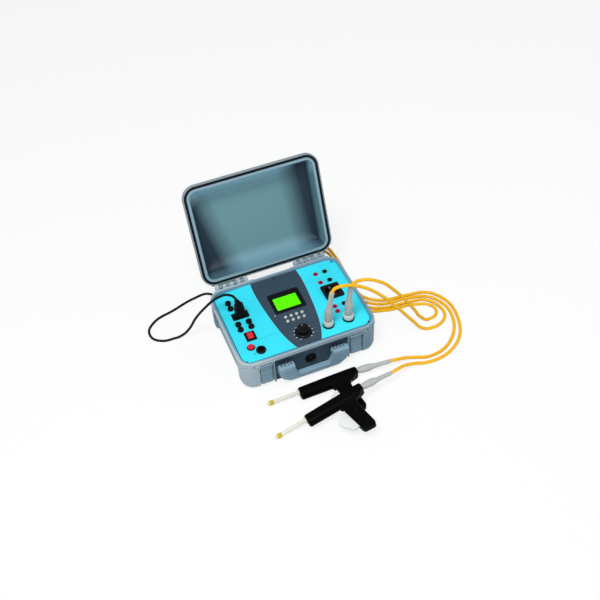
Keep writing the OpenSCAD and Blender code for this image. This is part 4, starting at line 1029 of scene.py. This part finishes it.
class TESTER_OT_terminals(Step):
    """Fuse holders, terminals, mains socket, inlet, lamp connector and high voltage sockets"""
    bl_idname = "tester.terminals"
    bl_label = "Terminals"

    def make(self, colours, sizes, stage):
        for i, at in enumerate(FUSES):
            mesh = bmesh.new()
            lift = at_panel(at, 1.2)
            spun(mesh, [(0, -14), (4.9, -14), (4.9, 0), (8, 0), (8.2, 0.3), (8.2, 5.2), (7.9, 5.8),
                (7.3, 6.1), (5.4, 6.1), (5, 5.7), (0, 5.6)], lift)
            ribs(mesh, at, 8.1, sizes.ribs, (0.4, 1.1), PANEL + 1.6, PANEL + 6.6)
            bar(mesh, (-4.2, -0.5, 5.4), (4.2, 0.5, 5.9), 0.1, lift)
            settle(mesh, "fuse_cap_top_%d" % (i + 1), "fuse_cap_%d" % (i + 1), "black_plastic",
                ["fuse_cap_%d" % (i + 1)])
        mesh = bmesh.new()
        for at in FUSES:
            spun(mesh, [(4.95, 1), (8.4, 1), (9, 0.7), (9, 0), (6.3, 0), (6.3, -30), (0, -30), (0, -26),
                (4.95, -26), (4.95, 1)], at_panel(at))
        settle(mesh, "fuse_holder_rings", "base", "black_plastic", ["fuse_holders"])
        for name, x, finish, slot in (("red", RED_JACKS, "red_plastic", "red_plastic"),
                ("black", BLACK_JACKS, "black_plastic", "black_gloss")):
            mesh = bmesh.new()
            for y in JACK_ROWS:
                lift = at_panel((x, y))
                spun(mesh, [(2.9, 1.5), (3.3, 2.2), (4.3, 2.4), (4.6, 2.1), (5, 2.1), (5.2, 2.5),
                    (6.8, 2.45), (7.4, 1.8), (7.4, 0), (6, 0), (6, -24), (0, -24), (0, -21), (2.9, -21),
                    (2.9, 1.5)], lift)
                tube = spun(mesh, [(2, 0.8), (2.1, 1), (2.8, 1), (2.8, -20), (0, -20), (0, -19.5),
                    (2, -19.5), (2, 0.8)], lift, 32)
                coloured(tube, 1)
            settle(mesh, name + "_terminals", "base", [finish, "dark_contact"], [name + "_jacks"])
        self.mains_socket()
        self.inlet()
        self.lamp_connector()
        self.high_sockets()

    def mains_socket(self):
        rounded_copy("mains_socket", "black_plastic", 0.7, segments=3)
        mesh = bmesh.new()
        for s in (-1, 1):
            turn = at_panel(SOCKET) @ turned(90 * s)
            bar(mesh, (18.4, -3.4, -11), (19.6, 3.4, 3.4), 0.3, turn)
            bar(mesh, (15.6, -2.4, -1), (18.9, 2.4, 0.2), 0.3, turn)
            for x in (-22, 22):
                coloured(bar(mesh, (x - 1.6, s * 22 - 1.6, 5.9), (x + 1.6, s * 22 + 1.6, 6.15), 0.1,
                    at_panel(SOCKET)), 1)
        for x in (-9.5, 9.5):
            spun(mesh, [(2.55, -11.8), (2.7, -11.3), (3.5, -11.3), (3.6, -11.6), (2.55, -11.8)],
                at_panel((SOCKET[0] + x, SOCKET[1])), 24)
        settle(mesh, "socket_contacts", "base", ["steel", "black_plastic"])

    def inlet(self):
        rounded_copy("mains_inlet", "black_plastic", 0.4)
        mesh = bmesh.new()
        for x in (-20, 20):
            lift = at_panel((INLET[0] + x, INLET[1]))
            spun(mesh, [(0, 0.6), (1.5, 0.6), (2.9, 2), (2.6, 2.5), (0, 2.7)], lift, 24)
            bar(mesh, (-2.2, -0.3, 2.4), (2.2, 0.3, 2.78), 0.05, lift)
        settle(mesh, "inlet_screws", "base", "screw_black")
        mesh = bmesh.new()
        x, y = INLET
        plate(mesh, INLET, (24.4, 16.4), 2.5, PANEL - 13, PANEL + 2.4, 0.3)
        plate(mesh, INLET, (28, 20), 4, PANEL + 2.1, PANEL + 34, 1.6)
        for i in range(5):
            for s in (-1, 1):
                bar(mesh, (x + s * 14 - 0.7, y - 6.5, PANEL + 8 + 4.4 * i),
                    (x + s * 14 + 0.7, y + 6.5, PANEL + 10.2 + 4.4 * i), 0.35)
        plate(mesh, INLET, (25, 18), 5, PANEL + 33, PANEL + 48, 2)
        for i in range(3):
            low = PANEL + 36 + 3.8 * i
            plate(mesh, INLET, (27 - 1.2 * i, 20 - 1.2 * i), 5, low, low + 2.2, 0.6)
        turn = Matrix.Translation((x, y, PANEL + 44)) @ turned(-14, "Y") @ turned(-6, "X")
        cone = [(0, 0)]
        for i in range(6):
            r, z = 9.6 - 0.6 * i, 3.4 * i
            cone += [(r, z + 0.3), (r + 0.2, z + 1.2), (r, z + 2.2), (r - 1.2, z + 2.5),
                (r - 1.3, z + 3.2)]
        spun(mesh, cone + [(5.2, 21.4), (4.5, 22), (0, 22)], turn)
        settle(mesh, "mains_connector", "base", "black_plastic", ["mains_plug"])

    def lamp_connector(self):
        mesh = bmesh.new()
        lift = at_panel(LAMP)
        spun(mesh, [(9.5, 5), (10, 5.6), (11.6, 6), (12.4, 5.8), (13.4, 4.8), (14, 4), (14, 0), (11, 0),
            (11, -14), (0, -14), (0, -4), (9.5, -4), (9.5, 5)], lift, 64)
        ribs(mesh, LAMP, 13.6, 24, (0.35, 1.3), PANEL + 0.4, PANEL + 3.8)
        pins = spun(mesh, [(0, -4), (2.2, -4), (2.2, -0.6), (1.8, 0), (0, 0)], lift, 24)
        for i in range(6):
            a = math.radians(60 * i)
            pins += spun(mesh, [(0, -5), (0.8, -5), (0.8, 0.5), (0.5, 1), (0, 1)],
                lift @ Matrix.Translation((5 * math.cos(a), 5 * math.sin(a), 0)), 12)
        coloured(pins, 1)
        bar(mesh, (-1.2, 8.4, -3.8), (1.2, 9.8, 4.6), 0.2, lift)
        settle(mesh, "lamp_socket", "base", ["black_plastic", "dark_contact"],
            ["lamp_connector"])

    def high_sockets(self):
        mesh = bmesh.new()
        for at in HIGH_SOCKETS:
            spun(mesh, [(0, -18), (10, -18), (10, 0), (17, 0), (17, 2.8), (16.3, 3.8), (15, 4), (10, 4),
                (10, 19), (0, 19)], at_panel(at), 64)
        settle(mesh, "high_socket_rings", "base", "black_plastic", ["hv_sockets"])
        mesh = bmesh.new()
        for at in HIGH_SOCKETS:
            lift = at_panel(at, 4.1)
            spun(mesh, [(10.2, 0), (14.4, 0), (14.6, 0.3), (14.6, 11.2), (13.9, 12.6), (14.2, 13),
                (14, 15.6), (13.4, 16.4), (13.2, 18), (12, 18.2), (12, 15), (10.2, 15), (10.2, 0)],
                lift, 64)
            ribs(mesh, at, 14.6, 26, (0.4, 1.7), PANEL + 5.2, PANEL + 14.6, 0.3)
        settle(mesh, "high_plug_nuts", "base", "pale_plastic", ["hv_plugs"])


# Outlines of the boots on the panel, and of the slimmer ones at the probes
BOOT = [(0, 0), (9.7, 0), (10.4, 0.5), (10.8, 4), (11.5, 10), (11.8, 18), (11.8, 32), (11.4, 38),
    (10.4, 43.5), (9.2, 48), (8.5, 53), (8.3, 55), (8.6, 56), (8.4, 57), (7.9, 60), (7.6, 70), (7.3, 78),
    (7.1, 88), (6.8, 100), (6.3, 104), (5.4, BOOT_LENGTH), (0, BOOT_LENGTH)]
SLIM_BOOT = [(0, 0), (7.4, 0), (7.9, 0.5), (8.2, 5), (9.2, 12), (10.2, 22), (10.6, 32), (10.5, 40),
    (9.8, 45), (8.4, 50), (7.5, 54), (7.1, 56), (7.3, 57), (7.1, 58), (6.7, 61), (6.3, 70), (6.1, 80),
    (5.9, 100), (5.6, 104), (4.9, BOOT_LENGTH), (0, BOOT_LENGTH)]


def boot(mesh, form, lean, shape=BOOT):
    """A long rubber boot that bends over as it rises; lean is how far its end leans out, in degrees."""
    profile = []
    for (r0, z0), (r1, z1) in zip(shape, shape[1:]):
        parts = max(1, round((z1 - z0) / 5))
        profile += [(r0 + (r1 - r0) * k / parts, z0 + (z1 - z0) * k / parts) for k in range(parts)]
    made = spun(mesh, profile + [shape[-1]], None, 40)
    reach = BOOT_LENGTH * math.tan(math.radians(lean))
    for v in made:
        along = v.co.z / BOOT_LENGTH
        slope = reach / BOOT_LENGTH * 1.5 * along ** 0.5
        v.co.z -= slope * v.co.x * 0.9
        v.co.x += reach * along ** 1.5
    bmesh.ops.transform(mesh, matrix=form, verts=made)


class TESTER_OT_switches(Step):
    """Mains switch, start button and the boots of the high voltage plugs"""
    bl_idname = "tester.switches"
    bl_label = "Switches"

    def make(self, colours, sizes, stage):
        mesh = bmesh.new()
        make = hoops(PANEL, [(0, 0), (0, 2), (0.6, 2.6), (3.9, 2.6), (4.3, 2.2), (4.3, -9)],
            True, least=1, corner=3.2, size=(26.4, 31), steps=32)
        grown(Matrix.Translation((*ROCKER, 0)), mesh, make)
        plate(mesh, ROCKER, (20.4, 25), 1, PANEL - 22, PANEL - 8.6, 0)
        settle(mesh, "mains_switch_frame", "base", "black_plastic", ["mains_switch"])
        mesh = bmesh.new()
        form = Matrix.Translation((*ROCKER, 101)) @ turned(8, "X")
        def lens(mesh):
            made = bmesh.ops.create_grid(mesh, x_segments=1, y_segments=2, size=0.5)["verts"]
            for v in made:
                v.co.x *= 17
                v.co.y *= 20.5
                v.co.z = 5.4 if abs(v.co.y) > 1 else 4.2
            faces = list({f for v in made for f in v.link_faces})
            down = bmesh.ops.extrude_face_region(mesh, geom=faces)["geom"]
            low = [v for v in down if isinstance(v, bmesh.types.BMVert)]
            for v in low:
                v.co.z = -1 if abs(v.co.y) > 1 else -5
            edges = [e for e in mesh.edges if e.calc_face_angle(0) > 0.6]
            soften(mesh, edges, 0.7, 3)
        grown(form, mesh, lens)
        signs = bar(mesh, (-0.35, 5, 4.5), (0.35, 8.2, 5.12), 0.05, form)
        signs += spun(mesh, [(1.1, 4.6), (1.6, 4.6), (1.6, 5.12), (1.1, 5.12), (1.1, 4.6)],
            form @ Matrix.Translation((0, -6.6, 0)), 28)
        coloured(signs, 1)
        settle(mesh, "mains_rocker_lens", "mains_rocker", ["red_lens", "dim_sign"],
            ["mains_rocker"])
        mesh = bmesh.new()
        spun(mesh, [(0, -9.7), (9.5, -9.7), (9.5, 4.4), (9.2, 5.4), (8.4, 6.3), (7.4, 6.7), (6, 6.6),
            (3, 6.2), (0, 6.1)], at_panel(BUTTON), 48)
        settle(mesh, "start_button_cap", "start_button", "red_lens", ["start_button"])
        mesh = bmesh.new()
        spun(mesh, [(9.6, 1.6), (10, 2), (11.2, 2), (11.9, 1.3), (11.9, 0), (10.5, 0), (10.5, -16),
            (0, -16), (0, -12), (9.6, -12), (9.6, 1.6)], at_panel(BUTTON), 48)
        settle(mesh, "start_button_ring", "base", "black_plastic", ["start_switch"])
        mesh = bmesh.new()
        for at, lean in zip(HIGH_SOCKETS, BOOT_LEAN):
            boot(mesh, at_panel(at, 20.4), lean)
        settle(mesh, "high_plug_boots", "base", "boot_rubber", ["hv_boots"], 50)


def moulded_shell(node, name):
    """A probe's shape with all its edges flowing into each other, as a moulded grip has them."""
    mesh = bmesh.new()
    mesh.from_mesh(NODES[node].data)
    bmesh.ops.remove_doubles(mesh, verts=mesh.verts, dist=2e-6)
    rough = added(name + "_rough", meshed(name, mesh))
    skin = rough.modifiers.new("skin", "REMESH")
    skin.mode, skin.voxel_size = "VOXEL", 1.1 * MM
    flow = rough.modifiers.new("flow", "SMOOTH")
    flow.factor, flow.iterations = 0.5, 5
    graph = bpy.context.evaluated_depsgraph_get()
    mesh = bmesh.new()
    mesh.from_mesh(bpy.data.meshes.new_from_object(rough.evaluated_get(graph), depsgraph=graph))
    bpy.data.objects.remove(rough)
    settle(mesh, name, NODES[node]["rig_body"], "probe_plastic", [node], 75, False)


class TESTER_OT_probes(Step):
    """The two high voltage probes: shells, triggers, rods and boots"""
    bl_idname = "tester.probes"
    bl_label = "Probes"

    def make(self, colours, sizes, stage):
        rods, boots, trim = bmesh.new(), bmesh.new(), bmesh.new()
        for i in range(2):
            moulded_shell("probe_%d_body" % (i + 1), "probe_shell_%d" % (i + 1))
            rounded_copy("probe_%d_trigger" % (i + 1), "trigger_plastic", 0.7, 25, 3)
            self.rod(rods, probe_form(i) @ Matrix.Translation((-BARREL, 0, 0)) @ turned(-90, "Y"))
            turn, drop = BOOT_TURNS[i]
            level = probe_form(i) @ Matrix.Translation((-3.5, 0, 0)) @ turned(-PROBES[i][3], "X")
            boot(boots, level @ turned(turn) @ turned(90 + drop, "Y"), 0, SLIM_BOOT)
            self.fittings(trim, probe_form(i))
        settle(rods, "probe_rods_and_tips", "base", ["rod_plastic", "ring_yellow"],
            ["probe_rods"])
        settle(boots, "probe_rear_boots", "base", "boot_rubber", ["probe_boots"], 50)
        settle(trim, "probe_fittings", "base", "screw_black")

    def rod(self, mesh, form):
        spun(mesh, [(0, -18), (5.25, -18), (5.25, 0.1), (8.8, 0.1), (9.6, 0.8), (9.6, 2.6), (9, 3.3),
            (6.6, 3.8), (5.25, 4.8), (5.25, 60), (5.25, 76.2)], form, 32)
        ring = spun(mesh, [(5.25, 76.2), (6.3, 76.5), (6.75, 77.2), (6.75, 80.4), (6.2, 80.8),
            (6.2, 81.6), (6.75, 82), (6.75, 88.2), (6.2, 88.9), (5.25, 89.2)], form, 32)
        coloured(ring, 1)
        spun(mesh, [(5.25, 89.2), (5, 91), (4.3, 93.2), (3, 95), (1, 96), (0, 96)], form, 32)

    def fittings(self, mesh, form):
        """The screws that hold the two half shells together."""
        for x, y, depth in ((-48, -112, 12), (-53, -62, 12), (-30, -14, 14.4), (-150, -7, 15)):
            lift = form @ Matrix.Translation((x, y, depth - 0.9))
            spun(mesh, [(0, 0), (2.4, 0), (2.4, 0.5), (2, 0.9), (0.8, 1), (0, 1)], lift, 24)


class TESTER_PT_panel(bpy.types.Panel):
    """Lists the tester's settings and steps"""
    bl_idname = "TESTER_PT_panel"
    bl_label = "Tester"
    bl_space_type = "VIEW_3D"
    bl_region_type = "UI"
    bl_category = "Tester"

    def draw(self, context):
        layout = self.layout
        for group in (getattr(context.scene, name) for name in GROUPS):
            box = layout.box()
            for name in group.__annotations__:
                box.prop(group, name)
        for step in STEPS:
            layout.operator(step.bl_idname)


STEPS = (TESTER_OT_stage, TESTER_OT_finishes, TESTER_OT_leads, TESTER_OT_case, TESTER_OT_lid,
    TESTER_OT_panel, TESTER_OT_terminals, TESTER_OT_switches, TESTER_OT_probes)
GROUPS = {"tester_colours": TesterColours, "tester_sizes": TesterSizes, "tester_stage": TesterStage}


def register():
    for group in GROUPS.values():
        bpy.utils.register_class(group)
    for name, group in GROUPS.items():
        setattr(bpy.types.Scene, name, PointerProperty(type=group))
    for step in STEPS:
        bpy.utils.register_class(step)
    bpy.utils.register_class(TESTER_PT_panel)


def unregister():
    bpy.utils.unregister_class(TESTER_PT_panel)
    for step in reversed(STEPS):
        bpy.utils.unregister_class(step)
    for name in GROUPS:
        delattr(bpy.types.Scene, name)
    for group in GROUPS.values():
        bpy.utils.unregister_class(group)


def main():
    register()
    for step in STEPS:
        family, name = step.bl_idname.split(".")
        getattr(getattr(bpy.ops, family), name)()


if __name__ == "__main__":
    main()
